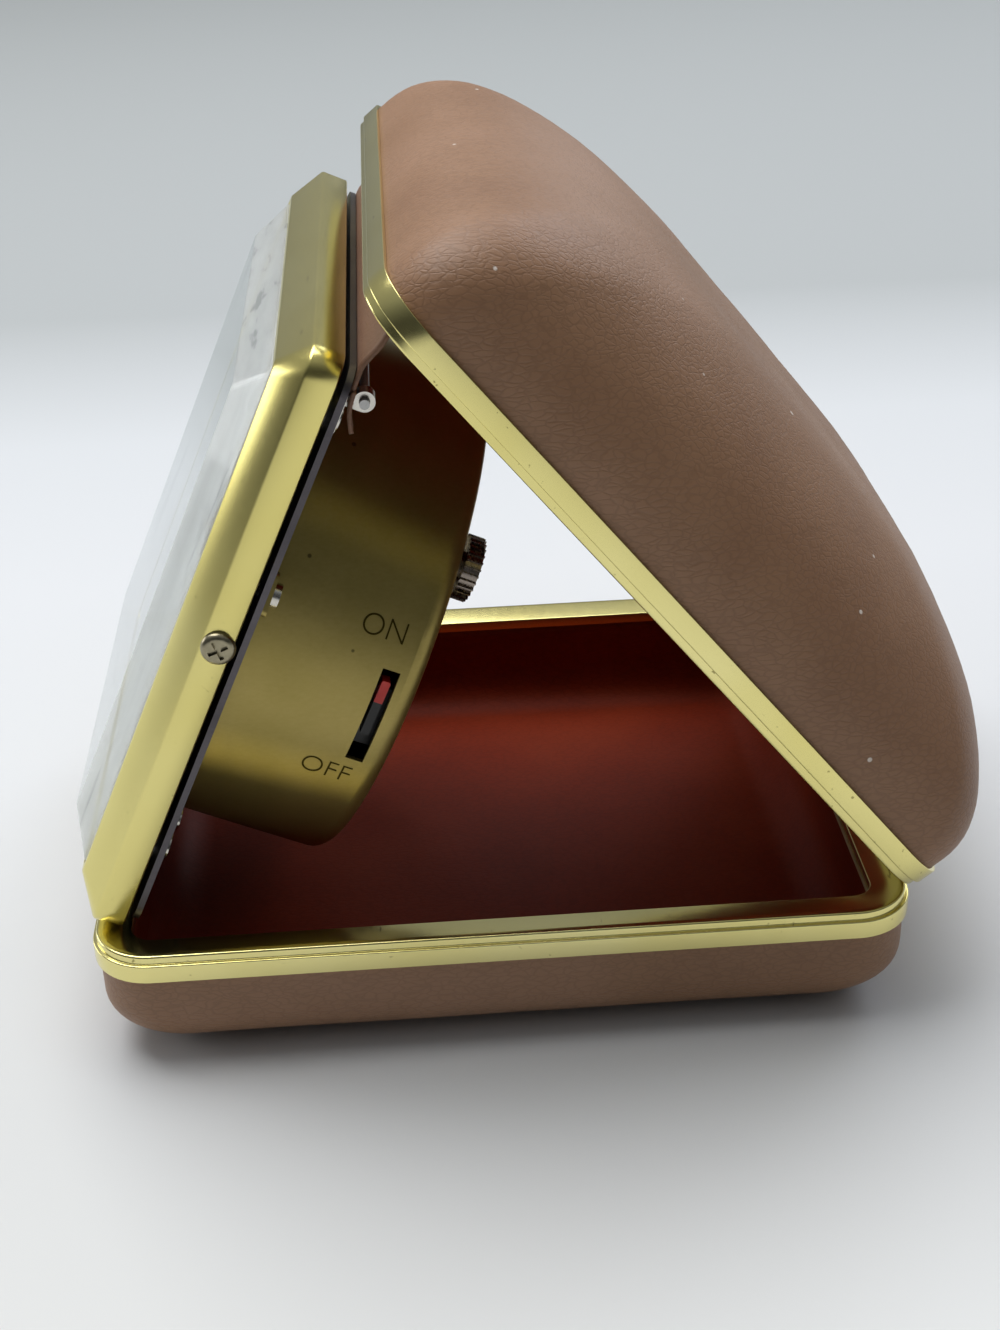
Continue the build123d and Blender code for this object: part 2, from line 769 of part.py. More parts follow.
# Movement can
with BuildPart() as movement_can:
    can_front = -back_face + glue_gap
    shaft(can_at, (can_front, can_depth), can_radius)
    back_rim = movement_can.faces().sort_by(Axis(CLOCK.origin, CLOCK.z_dir))[0].edges()
    fillet(back_rim, radius=can_round)
    for at, way in zip(lug_spots, lug_angles):
        lug = turned(spot(CLOCK, can_at[0], can_at[1], -can_front), way)
        with BuildSketch(lug) as tab:
            with Locations((can_radius + lug_reach / 2 - can_wall / 2, 0)):
                RectangleRounded(lug_reach + can_wall, lug_wide, can_wall)
        extrude(tab.sketch, amount=-can_wall)
        shaft(at, (0, can_depth), screw_shank + screw_fit, Mode.SUBTRACT)
    shaft(can_at, (0, can_depth - can_wall), can_inner_radius, Mode.SUBTRACT)
    for at in through_shafts + (centre_at, alarm_set_at):
        shaft(at, (can_front, 2 * can_depth), winding_arbor + shaft_room, Mode.SUBTRACT)
    slot_bottom = switch_lever_low - switch_travel - slot_room
    slot_deep = (-slot_middle - slot_wide / 2, -slot_middle + slot_wide / 2)
    block(CLOCK, (can_radius / 2, 2 * can_radius), (slot_bottom, slot_top), slot_deep, Mode.SUBTRACT)
write(movement_can, "movement_can")

with BuildPart() as can_screws:
    lug_back = can_front + can_wall
    for at in lug_spots:
        shaft(at, (lug_back, lug_back + lug_screw_high), lug_screw_head)
        shaft(at, (back_gap, lug_back), screw_shank)
write(can_screws, "can_screws")

# Movement plates
with BuildPart() as front_plate:
    shaft(can_at, front_band, plate_radius)
    for way in post_angles:
        shaft(polar(centre_at, post_ring, way), (-back_face, front_band[0]), post_radius)
    shaft(minute_wheel_at, (minute_pinion_band[0], front_band[0]), minute_stud)
    for at in fine_pivots:
        shaft(at, front_band, pivot_radius + run_fit, Mode.SUBTRACT)
    for at in through_shafts + (alarm_set_at,):
        shaft(at, front_band, winding_arbor + run_fit, Mode.SUBTRACT)
    shaft(centre_at, front_band, arbor_radius + run_fit, Mode.SUBTRACT)
write(front_plate, "front_plate")

with BuildPart() as rear_plate:
    shaft(can_at, rear_band, plate_radius)
    for at in fine_pivots + (click_at,):
        shaft(at, rear_band, pivot_radius + run_fit, Mode.SUBTRACT)
    for at in through_shafts + (alarm_set_at,):
        shaft(at, rear_band, winding_arbor + run_fit, Mode.SUBTRACT)
    for at in pillar_spots:
        shaft(at, rear_band, pillar_bore, Mode.SUBTRACT)
    shaft(centre_at, rear_band, arbor_radius + run_fit, Mode.SUBTRACT)
write(rear_plate, "rear_plate")

with BuildPart() as plate_pillars:
    for at in pillar_spots:
        shaft(at, (front_band[1], rear_band[0]), pillar_radius)
        shaft(at, (rear_band[0] - pillar_screw_reach, rear_band[0]), pillar_bore, Mode.SUBTRACT)
write(plate_pillars, "plate_pillars")

with BuildPart() as pillar_screws:
    for at in pillar_spots:
        shaft(at, (rear_band[0] - pillar_screw_reach + glue_gap, rear_band[1]), pillar_bore - screw_fit)
        shaft(at, (rear_band[1], rear_band[1] + lug_screw_high), screw_head)
write(pillar_screws, "pillar_screws")

# Going train, with the minute hand and the time knob on the centre arbor
centre_phase = third_way
barrel_phase = mesh_phase(centre_phase, centre_pinion_teeth, barrel_teeth, barrel_way)
third_phase = mesh_phase(centre_phase, centre_teeth, third_pinion_teeth, third_way)
escape_phase = mesh_phase(third_phase, third_teeth, escape_pinion_teeth, escape_way)

with BuildPart() as centre_wheel:
    shaft(centre_at, (-minute_hand_at - hand_thick, knob_band[1]), arbor_radius)
    gear(CLOCK, centre_at, centre_pinion_band, centre_pinion_teeth, barrel_module, centre_phase)
    gear(CLOCK, centre_at, centre_wheel_band, centre_teeth, train_module, centre_phase)
write(centre_wheel, "centre_wheel")

with BuildPart() as cannon_pinion:
    cannon_phase = minute_wheel_way
    shaft(centre_at, (-minute_hand_at + glue_gap, front_band[0] - glue_gap), cannon_tube)
    gear(CLOCK, centre_at, cannon_band, cannon_teeth, work_module, cannon_phase)
    shaft(centre_at, (-frame_deep, can_depth), arbor_radius + screw_fit, Mode.SUBTRACT)
write(cannon_pinion, "cannon_pinion")

with BuildPart() as minute_hand:
    minute_shape = (minute_hand_long, minute_hand_tail, minute_hand_wide, minute_hand_boss)
    hand(minute_hand_at, minute_hand_turn, *minute_shape, arbor_radius + screw_fit)
write(minute_hand, "minute_hand")

with BuildPart() as time_set_knob:
    gear(CLOCK, centre_at, knob_band, knob_teeth, 2 * time_knob_radius / knob_teeth, 0)
    shaft(centre_at, (0, 2 * can_depth), arbor_radius + screw_fit, Mode.SUBTRACT)
write(time_set_knob, "time_set_knob")

with BuildPart() as third_wheel:
    shaft(third_at, pivot_band, pivot_radius)
    gear(CLOCK, third_at, third_pinion_band, third_pinion_teeth, train_module, third_phase)
    gear(CLOCK, third_at, third_wheel_band, third_teeth, third_module, third_phase)
write(third_wheel, "third_wheel")

with BuildPart() as escape_wheel:
    shaft(escape_at, pivot_band, pivot_radius)
    gear(CLOCK, escape_at, escape_pinion_band, escape_pinion_teeth, third_module, escape_phase)
    gear(CLOCK, escape_at, escape_wheel_band, escape_teeth, escape_module, escape_phase)
write(escape_wheel, "escape_wheel")

with BuildPart() as pallet_lever:
    shaft(lever_at, pivot_band, pivot_radius)
    lever_face = turned(spot(CLOCK, lever_at[0], lever_at[1], -lever_band[1]), balance_way)
    with BuildSketch(lever_face) as lever_shape:
        Circle(lever_wide)
        root_half = lever_wide / 2
        tail_half = lever_wide / 4
        tail = [(0, -root_half), (lever_tail, -tail_half), (lever_tail, tail_half), (0, root_half)]
        Polygon(*tail, align=None)
        Rectangle(lever_wide, 2 * lever_arm)
    extrude(lever_shape.sketch, amount=lever_band[1] - lever_band[0])
write(pallet_lever, "pallet_lever")

with BuildPart() as balance_wheel:
    shaft(balance_at, pivot_band, pivot_radius)
    shaft(balance_at, hairspring_band, hairspring_start - hairspring_thick)
    shaft(balance_at, balance_band, balance_radius)
    shaft(balance_at, balance_band, balance_radius - balance_rim, Mode.SUBTRACT)
    spoke_face = spot(CLOCK, balance_at[0], balance_at[1], -balance_band[1])
    with BuildSketch(spoke_face) as spoke:
        Rectangle(2 * balance_radius - balance_rim, balance_spoke)
        Circle(2 * pivot_radius)
    extrude(spoke.sketch, amount=balance_band[1] - balance_band[0])
write(balance_wheel, "balance_wheel")

with BuildPart() as hairspring:
    hairspring_shape = (hairspring_start, hairspring_pitch, hairspring_turns, hairspring_thick)
    spiral(balance_at, hairspring_band, *hairspring_shape)
write(hairspring, "hairspring")

# Mainspring barrel and its winding arbor
barrel_room = (barrel_band[0] + barrel_wall, barrel_band[1] - barrel_wall)
with BuildPart() as mainspring_barrel:
    shaft(barrel_at, barrel_band, barrel_radius)
    gear(CLOCK, barrel_at, barrel_gear_band, barrel_teeth, barrel_module, barrel_phase)
    shaft(barrel_at, barrel_room, barrel_radius - barrel_wall, Mode.SUBTRACT)
    shaft(barrel_at, (0, can_depth), winding_arbor + run_fit, Mode.SUBTRACT)
write(mainspring_barrel, "mainspring_barrel")

spring_band = (barrel_room[0] + barrel_wall / 2, barrel_room[1] - barrel_wall / 2)
with BuildPart() as mainspring:
    spiral(barrel_at, spring_band, mainspring_start, mainspring_pitch, mainspring_turns, mainspring_thick)
write(mainspring, "mainspring")

with BuildPart() as barrel_arbor:
    shaft(barrel_at, (front_band[0], key_hub_band[1]), winding_arbor)
write(barrel_arbor, "barrel_arbor")

with BuildPart() as ratchet_wheel:
    gear(CLOCK, barrel_at, ratchet_band, ratchet_teeth, ratchet_module, 0)
    shaft(barrel_at, (0, can_depth), winding_arbor + screw_fit, Mode.SUBTRACT)
write(ratchet_wheel, "ratchet_wheel")

with BuildPart() as click:
    shaft(click_at, (rear_band[0], ratchet_band[1]), pivot_radius)
    click_face = turned(spot(CLOCK, click_at[0], click_at[1], -ratchet_band[1]), click_way + 180 + click_lean)
    ratchet_tip = (ratchet_teeth / 2 + addendum) * ratchet_module
    click_reach = click_gap - ratchet_tip
    with BuildSketch(click_face) as pawl:
        Circle(2 * pivot_radius)
        Polygon((0, -2 * pivot_radius), (click_reach + click_tip, 0), (0, 2 * pivot_radius), align=None)
    extrude(pawl.sketch, amount=ratchet_band[1] - ratchet_band[0])
write(click, "click")


def winding_key(at, half):
    """A flat two-winged key on the end of a winding arbor."""
    shaft(at, key_hub_band, key_hub)
    wing_face = spot(CLOCK, at[0], at[1], -key_wing_band[1])
    with BuildSketch(wing_face) as wings:
        SlotOverall(2 * half, key_wing_wide)
    extrude(wings.sketch, amount=key_wing_band[1] - key_wing_band[0])
    shaft(at, (0, key_hub_band[1] + glue_gap), winding_arbor + screw_fit, Mode.SUBTRACT)


with BuildPart() as time_key:
    winding_key(barrel_at, key_wing_half)
write(time_key, "time_winding_key")

# Motion work and hands
minute_phase = mesh_phase(cannon_phase, cannon_teeth, minute_wheel_teeth, minute_wheel_way)
hour_phase = mesh_phase(minute_phase, minute_pinion_teeth, hour_teeth, minute_wheel_way + 180)
hour_bore = cannon_tube + run_fit
hour_tube = hour_bore + tube_wall
alarm_bore = hour_tube + 2 * run_fit
alarm_tube = alarm_bore + tube_wall

with BuildPart() as minute_wheel:
    gear(CLOCK, minute_wheel_at, minute_wheel_band, minute_wheel_teeth, work_module, minute_phase)
    hub_band = (minute_pinion_band[1], minute_wheel_band[0])
    shaft(minute_wheel_at, hub_band, 2 * minute_stud)
    gear(CLOCK, minute_wheel_at, minute_pinion_band, minute_pinion_teeth, work_module, minute_phase)
    shaft(minute_wheel_at, (0, can_depth), minute_stud + run_fit, Mode.SUBTRACT)
write(minute_wheel, "minute_wheel")

with BuildPart() as hour_wheel:
    gear(CLOCK, centre_at, hour_wheel_band, hour_teeth, work_module, hour_phase)
    shaft(centre_at, (-hour_hand_at - 2 * hand_thick, hour_wheel_band[0]), hour_tube)
    shaft(centre_at, (-frame_deep, can_depth), hour_bore, Mode.SUBTRACT)
write(hour_wheel, "hour_wheel")

with BuildPart() as hour_hand:
    hour_shape = (hour_hand_long, hour_hand_tail, hour_hand_wide, hour_tube + tube_wall)
    hand(hour_hand_at, hour_hand_turn, *hour_shape, hour_tube + screw_fit)
write(hour_hand, "hour_hand")

alarm_phase = alarm_way
with BuildPart() as alarm_wheel:
    gear(CLOCK, centre_at, alarm_wheel_band, alarm_teeth, alarm_module, alarm_phase)
    shaft(centre_at, (-alarm_hand_at - hand_thick, alarm_wheel_band[0]), alarm_tube)
    shaft(centre_at, (-frame_deep, can_depth), alarm_bore, Mode.SUBTRACT)
write(alarm_wheel, "alarm_wheel")

with BuildPart() as alarm_hand:
    alarm_shape = (alarm_hand_long, alarm_hand_tail, alarm_hand_wide, alarm_tube + tube_wall)
    hand(alarm_hand_at, alarm_hand_turn, *alarm_shape, alarm_tube + screw_fit)
write(alarm_hand, "alarm_hand")

# Alarm setting knob, alarm barrel, hammer and switch
with BuildPart() as alarm_set_knob:
    set_phase = mesh_phase(alarm_phase, alarm_teeth, alarm_pinion_teeth, alarm_way)
    shaft(alarm_set_at, (alarm_wheel_band[0], knob_band[1]), winding_arbor)
    gear(CLOCK, alarm_set_at, alarm_wheel_band, alarm_pinion_teeth, alarm_module, set_phase)
    shaft(alarm_set_at, (can_depth + run_fit, knob_band[0]), set_collar_radius)
    gear(CLOCK, alarm_set_at, knob_band, knob_teeth, 2 * set_knob_radius / knob_teeth, 0)
write(alarm_set_knob, "alarm_set_knob")

alarm_room = (alarm_barrel_band[0] + barrel_wall, alarm_barrel_band[1] - barrel_wall)
with BuildPart() as alarm_barrel:
    shaft(alarm_barrel_at, alarm_barrel_band, alarm_barrel_radius)
    shaft(alarm_barrel_at, alarm_room, alarm_barrel_radius - barrel_wall, Mode.SUBTRACT)
    shaft(alarm_barrel_at, (front_band[0], key_hub_band[1]), winding_arbor)
write(alarm_barrel, "alarm_barrel")

alarm_spring_band = (alarm_room[0] + barrel_wall / 2, alarm_room[1] - barrel_wall / 2)
with BuildPart() as alarm_spring:
    spiral(alarm_barrel_at, alarm_spring_band, mainspring_start, mainspring_pitch, alarm_spring_turns,
           mainspring_thick)
write(alarm_spring, "alarm_spring")

with BuildPart() as alarm_key:
    winding_key(alarm_barrel_at, alarm_key_half)
write(alarm_key, "alarm_winding_key")

with BuildPart() as alarm_hammer:
    shaft(hammer_at, pivot_band, pivot_radius)
    head_at = (hammer_at[0] - hammer_arm, hammer_at[1])
    arm_deep = (-hammer_band[1], -hammer_band[0])
    arm_wide = (hammer_at[1] - pivot_radius, hammer_at[1] + pivot_radius)
    block(CLOCK, (head_at[0], hammer_at[0]), arm_wide, arm_deep)
    shaft(hammer_at, hammer_band, 2 * pivot_radius)
    shaft(head_at, hammer_band, hammer_head)
write(alarm_hammer, "alarm_hammer")

tip_deep = (-slot_middle - switch_tip_wide / 2, -slot_middle + switch_tip_wide / 2)
with BuildPart() as alarm_switch:
    slide_deep = (-switch_slide_back, -rear_band[1] - run_fit)
    slide_in = switch_face - switch_thick
    block(CLOCK, (slide_in, switch_face), (switch_slide_low, switch_slide_high), slide_deep)
    block(CLOCK, (switch_face, switch_tip_out), (switch_lever_low, switch_split), tip_deep)
write(alarm_switch, "alarm_switch")

with BuildPart() as switch_tip:
    block(CLOCK, (switch_face, switch_tip_out), (switch_split, switch_top), tip_deep)
    tip_edges = switch_tip.edges().filter_by(Axis.X).sort_by(Axis.Z)[-2:]
    fillet(tip_edges, radius=switch_tip_wide / 4)
write(switch_tip, "switch_tip")
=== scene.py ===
from math import acos, cos, pi, radians, sin, sqrt

import bmesh
import bpy
from mathutils import Matrix, Vector, noise


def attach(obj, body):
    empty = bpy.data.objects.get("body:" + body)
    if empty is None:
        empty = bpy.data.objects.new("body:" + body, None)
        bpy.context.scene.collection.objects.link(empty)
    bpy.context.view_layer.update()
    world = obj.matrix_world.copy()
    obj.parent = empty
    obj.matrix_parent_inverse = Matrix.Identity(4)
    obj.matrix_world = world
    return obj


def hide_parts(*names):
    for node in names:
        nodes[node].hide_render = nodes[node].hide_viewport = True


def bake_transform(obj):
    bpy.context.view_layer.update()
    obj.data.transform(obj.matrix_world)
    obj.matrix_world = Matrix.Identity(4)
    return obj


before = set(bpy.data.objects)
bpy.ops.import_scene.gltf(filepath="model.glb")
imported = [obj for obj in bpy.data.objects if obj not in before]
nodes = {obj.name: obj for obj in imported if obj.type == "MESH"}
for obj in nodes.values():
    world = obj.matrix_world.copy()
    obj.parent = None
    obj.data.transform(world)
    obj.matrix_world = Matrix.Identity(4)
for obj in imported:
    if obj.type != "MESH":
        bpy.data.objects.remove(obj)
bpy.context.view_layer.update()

MM = 0.001

# Sizes shared with the solids, in millimetres
CASE_WIDTH = 70.6
CASE_LENGTH = 80.0
CASE_CORNER = 6.0
BASE_DEPTH = 13.4
LID_DEPTH = 19.6
BASE_ROUND = (8.5, 7.0, 7.0)
LID_ROUND = (24.8, 15.4, 9.75)
COVER_INSET = 0.45
COVER_BACK = (1.2, 0.6)
LINING_SKIN = (3.05, 1.5)
CAVITY_SKIN = (3.8, 2.0)
LAYER_START = 1.7
LID_ANGLE = radians(51.0)
CLOCK_LEAN = radians(24.3)
HINGE_Y = 39.8
HINGE_RISE = 0.2
FOOT_INSET = 2.8
FOOT_DROP = 0.2
FRAME_SIZE = 62.0
FRAME_DEEP = 5.25
LIP_LOW = 3.9
CRYSTAL_TOP = 7.65
DIAL_TOP = 2.5
CAN_RADIUS = 26.6
CAN_DROP = 3.0
WEB_HALF = 29.0
WEB_THICK = 0.42
RIM_HEIGHT = 2.8
BAND_THICK = 0.4
SHOULDER_LOW = 0.9
SHOULDER_BACK = 0.36
FLANGE_LOW = 0.44
FLANGE_UNDER = 1.65


def place(origin, x_dir, z_dir):
    """A matrix from a piece's own millimetres to the shared frame in metres."""
    x, z = Vector(x_dir), Vector(z_dir)
    y = z.cross(x)
    rows = [(x[i] * MM, y[i] * MM, z[i] * MM, origin[i] * MM) for i in range(3)]
    return Matrix([*rows, (0, 0, 0, 1)])


lid_along = Vector((0, -cos(LID_ANGLE), sin(LID_ANGLE)))
lid_out = Vector((0, sin(LID_ANGLE), cos(LID_ANGLE)))
hinge_at = Vector((0, HINGE_Y, BASE_DEPTH + HINGE_RISE))
clock_up = Vector((0, sin(CLOCK_LEAN), cos(CLOCK_LEAN)))
clock_front = Vector((0, -cos(CLOCK_LEAN), sin(CLOCK_LEAN)))
clock_foot = Vector((0, FOOT_INSET - CASE_LENGTH / 2, BASE_DEPTH - FOOT_DROP))

BASE = place((0, 0, BASE_DEPTH), (-1, 0, 0), (0, 0, -1))
LID = place(hinge_at + lid_along * HINGE_Y + lid_out * HINGE_RISE, (1, 0, 0), lid_out)
CLOCK = place(clock_foot + clock_up * FRAME_SIZE / 2, (1, 0, 0), clock_front)


# Materials

def linear(colour):
    """An sRGB hex colour as linear light."""
    parts = [int(colour[i:i + 2], 16) / 255 for i in (1, 3, 5)]
    return [p / 12.92 if p <= 0.04045 else ((p + 0.055) / 1.055) ** 2.4 for p in parts] + [1.0]


def add(tree, kind, inputs=None, stops=None, **settings):
    """Add a node, set its values, link what is given as a node or a socket, and fill a colour ramp."""
    made = tree.nodes.new(kind)
    for name, value in settings.items():
        setattr(made, name, value)
    for name, value in (inputs or {}).items():
        if isinstance(value, bpy.types.Node):
            value = next(out for out in value.outputs if out.enabled)
        if isinstance(value, bpy.types.NodeSocket):
            tree.links.new(value, made.inputs[name])
        else:
            made.inputs[name].default_value = value
    if stops:
        band = made.color_ramp
        while len(band.elements) < len(stops):
            band.elements.new(0.5)
        for element, (at, colour) in zip(band.elements, stops):
            element.position = at
            element.color = linear(colour)
    return made


def begin(name):
    """A new node material: itself, its tree and the piece's own coordinates in millimetres."""
    made = bpy.data.materials.new(name)
    made.use_nodes = True
    tree = made.node_tree
    tree.nodes.remove(tree.nodes["Principled BSDF"])
    spot = add(tree, "ShaderNodeTexCoord").outputs["Object"]
    return made, tree, add(tree, "ShaderNodeVectorMath", {0: spot, "Scale": 1000.0}, operation="SCALE")


def end(tree, shader):
    """Link a finished shader to the material's surface."""
    tree.links.new(shader.outputs[0], tree.nodes["Material Output"].inputs["Surface"])


def leatherette(name, dark, mid, light, gloss, crinkle, flecks, sheen, shine):
    """Vinyl-coated cloth or paper: an even tone, fine crinkles that run across the lid with painted shade
    darkening the furrows between them, pale worn flecks where it was rubbed, and a waxy sheen that turns grey
    at a slant."""
    made, tree, at = begin(name)
    broad = add(tree, "ShaderNodeTexNoise", {"Vector": at, "Scale": 0.045, "Detail": 3.0})
    ramp = add(tree, "ShaderNodeValToRGB", {"Fac": broad}, [(0.3, dark), (0.5, mid), (0.7, light)])
    run = add(tree, "ShaderNodeMapping", {"Vector": at, "Scale": (1.0, 0.42, 1.0)})
    bend = add(tree, "ShaderNodeTexNoise", {"Vector": run, "Scale": 0.7, "Detail": 2.0})
    drift = add(tree, "ShaderNodeVectorMath", {0: bend.outputs["Color"], "Scale": 1.1}, operation="SCALE")
    swept = add(tree, "ShaderNodeVectorMath", {0: run, 1: drift}, operation="ADD")
    cells = add(tree, "ShaderNodeTexVoronoi", {"Vector": swept, "Scale": 1.8}, feature="DISTANCE_TO_EDGE")
    furrow = add(tree, "ShaderNodeMapRange", {"Value": cells, "From Max": 0.16})
    grit = add(tree, "ShaderNodeTexNoise", {"Vector": at, "Scale": 3.2, "Detail": 4.0, "Roughness": 0.6})
    # Painted shade: the colour is darkened in the furrows between the crinkles.
    shade = add(tree, "ShaderNodeMapRange", {"Value": furrow, "To Min": 0.86, "To Max": 1.0})
    toned = add(tree, "ShaderNodeMix", {0: 1.0, 6: ramp, 7: shade}, data_type="RGBA", blend_type="MULTIPLY")
    spots = add(tree, "ShaderNodeTexVoronoi", {"Vector": at, "Scale": 0.16})
    near = {"Value": spots, "From Min": 0.045, "From Max": 0.03, "To Max": flecks}
    specks = add(tree, "ShaderNodeMapRange", near)
    worn = add(tree, "ShaderNodeMix", {0: specks, 6: toned, 7: linear("#d9cdc2")}, data_type="RGBA")
    lumps = add(tree, "ShaderNodeMath", {0: furrow, 1: grit}, operation="ADD")
    bump = add(tree, "ShaderNodeBump", {"Height": lumps, "Strength": crinkle, "Distance": 0.00006})
    rough = add(tree, "ShaderNodeMapRange", {"Value": grit, "To Min": gloss - 0.08, "To Max": gloss + 0.08})
    surface = {"Base Color": worn, "Roughness": rough, "Normal": bump, "Specular IOR Level": shine}
    wax = {"Sheen Weight": sheen, "Sheen Roughness": 0.45, "Sheen Tint": linear("#d9ccc2")}
    end(tree, add(tree, "ShaderNodeBsdfPrincipled", surface | wax))
    return made


def gilt(name, deep, light, gloss, scuffed):
    """Gilt anodised metal: pale lemon gold, even and polished, with a faint drawn grain and dark scuffs."""
    made, tree, at = begin(name)
    broad = add(tree, "ShaderNodeTexNoise", {"Vector": at, "Scale": 0.05, "Detail": 2.0})
    ramp = add(tree, "ShaderNodeValToRGB", {"Fac": broad}, [(0.3, deep), (0.7, light)])
    drawn = {"Vector": at, "Rotation": (0.3, 0.2, 0.5), "Scale": (0.2, 1.0, 1.0)}
    run = add(tree, "ShaderNodeMapping", drawn)
    scratch = add(tree, "ShaderNodeTexNoise", {"Vector": run, "Scale": 1.5, "Detail": 3.0, "Roughness": 0.5})
    deepest = {"Value": scratch, "From Min": 0.7, "From Max": 0.74, "To Max": scuffed}
    marks = add(tree, "ShaderNodeMapRange", deepest)
    toned = add(tree, "ShaderNodeMix", {0: marks, 6: ramp, 7: linear("#5d5220")}, data_type="RGBA")
    grain = add(tree, "ShaderNodeTexNoise", {"Vector": run, "Scale": 2.0, "Detail": 1.0})
    rough = add(tree, "ShaderNodeMapRange", {"Value": grain, "To Min": gloss - 0.02, "To Max": gloss + 0.03})
    surface = {"Base Color": toned, "Metallic": 1.0, "Roughness": rough}
    end(tree, add(tree, "ShaderNodeBsdfPrincipled", surface))
    return made


def metal(name, deep, light, gloss, run=(0.15, 1.0, 1.0), grain=2.5, metallic=1.0):
    """Worked metal: a drawn or spun grain, a slow change of tone and small dark marks from handling."""
    made, tree, at = begin(name)
    along = add(tree, "ShaderNodeMapping", {"Vector": at, "Scale": run})
    drawn = {"Vector": along, "Scale": grain, "Detail": 3.0, "Roughness": 0.6}
    lines = add(tree, "ShaderNodeTexNoise", drawn)
    broad = add(tree, "ShaderNodeTexNoise", {"Vector": at, "Scale": 0.12, "Detail": 2.0})
    tone = add(tree, "ShaderNodeMix", {0: 0.4, 2: broad, 3: lines})
    ramp = add(tree, "ShaderNodeValToRGB", {"Fac": tone}, [(0.32, deep), (0.68, light)])
    spots = add(tree, "ShaderNodeTexVoronoi", {"Vector": at, "Scale": 0.22})
    near = {"Value": spots, "From Min": 0.06, "From Max": 0.04, "To Max": 0.7}
    pits = add(tree, "ShaderNodeMapRange", near)
    toned = add(tree, "ShaderNodeMix", {0: pits, 6: ramp, 7: linear("#2a2416")}, data_type="RGBA")
    rough = add(tree, "ShaderNodeMapRange", {"Value": lines, "To Min": gloss - 0.08, "To Max": gloss + 0.1})
    bump = add(tree, "ShaderNodeBump", {"Height": lines, "Strength": 0.12, "Distance": 0.00001})
    surface = {"Base Color": toned, "Metallic": metallic, "Roughness": rough, "Normal": bump}
    end(tree, add(tree, "ShaderNodeBsdfPrincipled", surface))
    return made


def coated(name, dark, light, gloss, skin, depth):
    """Moulded, printed or varnished surface: a faint uneven tone and a fine skin."""
    made, tree, at = begin(name)
    broad = add(tree, "ShaderNodeTexNoise", {"Vector": at, "Scale": 0.2, "Detail": 4.0})
    ramp = add(tree, "ShaderNodeValToRGB", {"Fac": broad}, [(0.35, dark), (0.65, light)])
    fine = add(tree, "ShaderNodeTexNoise", {"Vector": at, "Scale": skin, "Detail": 4.0, "Roughness": 0.6})
    rough = add(tree, "ShaderNodeMapRange", {"Value": fine, "To Min": gloss - 0.08, "To Max": gloss + 0.08})
    bump = add(tree, "ShaderNodeBump", {"Height": fine, "Strength": 0.3, "Distance": depth})
    surface = {"Base Color": ramp, "Roughness": rough, "Normal": bump}
    end(tree, add(tree, "ShaderNodeBsdfPrincipled", surface))
    return made


def clear_acrylic(name, cloud):
    """Cast acrylic: clear straight on, bright with reflection at a slant, cloudy and faintly streaked along
    its height where it is scuffed or ground; the darker streaks in the haze's colour are partly painted
    reflection and refraction lines."""
    made, tree, at = begin(name)
    upright = {"Vector": at, "Rotation": (-CLOCK_LEAN, 0.0, 0.0), "Scale": (8.0, 1.0, 20.0)}
    run = add(tree, "ShaderNodeMapping", upright, vector_type="TEXTURE")
    scuffs_and_refraction_lines = add(tree, "ShaderNodeTexNoise", {"Vector": run, "Scale": 1.1, "Detail": 3.0})
    worn = {"Value": scuffs_and_refraction_lines, "From Min": 0.5, "To Min": 0.03, "To Max": 0.14}
    rough = add(tree, "ShaderNodeMapRange", worn)
    # The haze's colour runs in streaks: partly scuffing, partly painted reflection and refraction lines in
    # darker grey.
    greys = ((0.32, "#aeb2b0"), (0.4, "#e3e6e3"), (0.6, "#eef0ee"))
    streak_and_painted_refraction = add(tree, "ShaderNodeValToRGB", {"Fac": scuffs_and_refraction_lines}, greys)
    mirror = add(tree, "ShaderNodeBsdfGlossy", {"Color": linear("#f4f6f6"), "Roughness": rough})
    through = add(tree, "ShaderNodeBsdfTransparent", {"Color": linear("#fbfcfc")})
    facing = add(tree, "ShaderNodeLayerWeight", {"Blend": 0.5}).outputs["Facing"]
    steep = add(tree, "ShaderNodeMath", {0: facing, 1: 5.0}, operation="POWER")
    slant = add(tree, "ShaderNodeMapRange", {"Value": steep, "To Min": 0.04})
    body = add(tree, "ShaderNodeMixShader", {0: slant, 1: through, 2: mirror})
    milk = {"Subsurface Weight": 1.0, "Subsurface Radius": (1.0, 1.0, 1.0), "Subsurface Scale": 0.004}
    haze = add(tree, "ShaderNodeBsdfPrincipled", {"Base Color": streak_and_painted_refraction, "Roughness": 0.3} | milk)
    end(tree, add(tree, "ShaderNodeMixShader", {0: cloud, 1: body, 2: haze}))
    return made


COVER = leatherette("leatherette_embossed_vinyl", "#8a6549", "#936e51", "#9d785d",
                    gloss=0.46, crinkle=0.38, flecks=1.0, sheen=0.04, shine=0.4)
WEB = leatherette("leatherette_web", "#75543f", "#83604b", "#906c57",
                  gloss=0.5, crinkle=0.4, flecks=0.4, sheen=0.08, shine=0.4)
LINING = leatherette("lining_coated_paper", "#80280f", "#8a2e13", "#943619",
                     gloss=0.5, crinkle=0.12, flecks=0.0, sheen=0.0, shine=0.12)
GILT = gilt("gilt_anodised_rim", "#dfd387", "#e9df9d", gloss=0.2, scuffed=0.6)
FRAME_GILT = gilt("gilt_anodised_frame", "#d9cc7c", "#e4d991", gloss=0.25, scuffed=0.25)
CAN = metal("bronze_lacquered_steel", "#9a8a4c", "#ab995c", 0.4,
            run=(1.0, 0.5, 1.0), grain=3.0, metallic=0.85)
BRASS = metal("brass_brushed", "#a98d45", "#c6aa5e", 0.3)
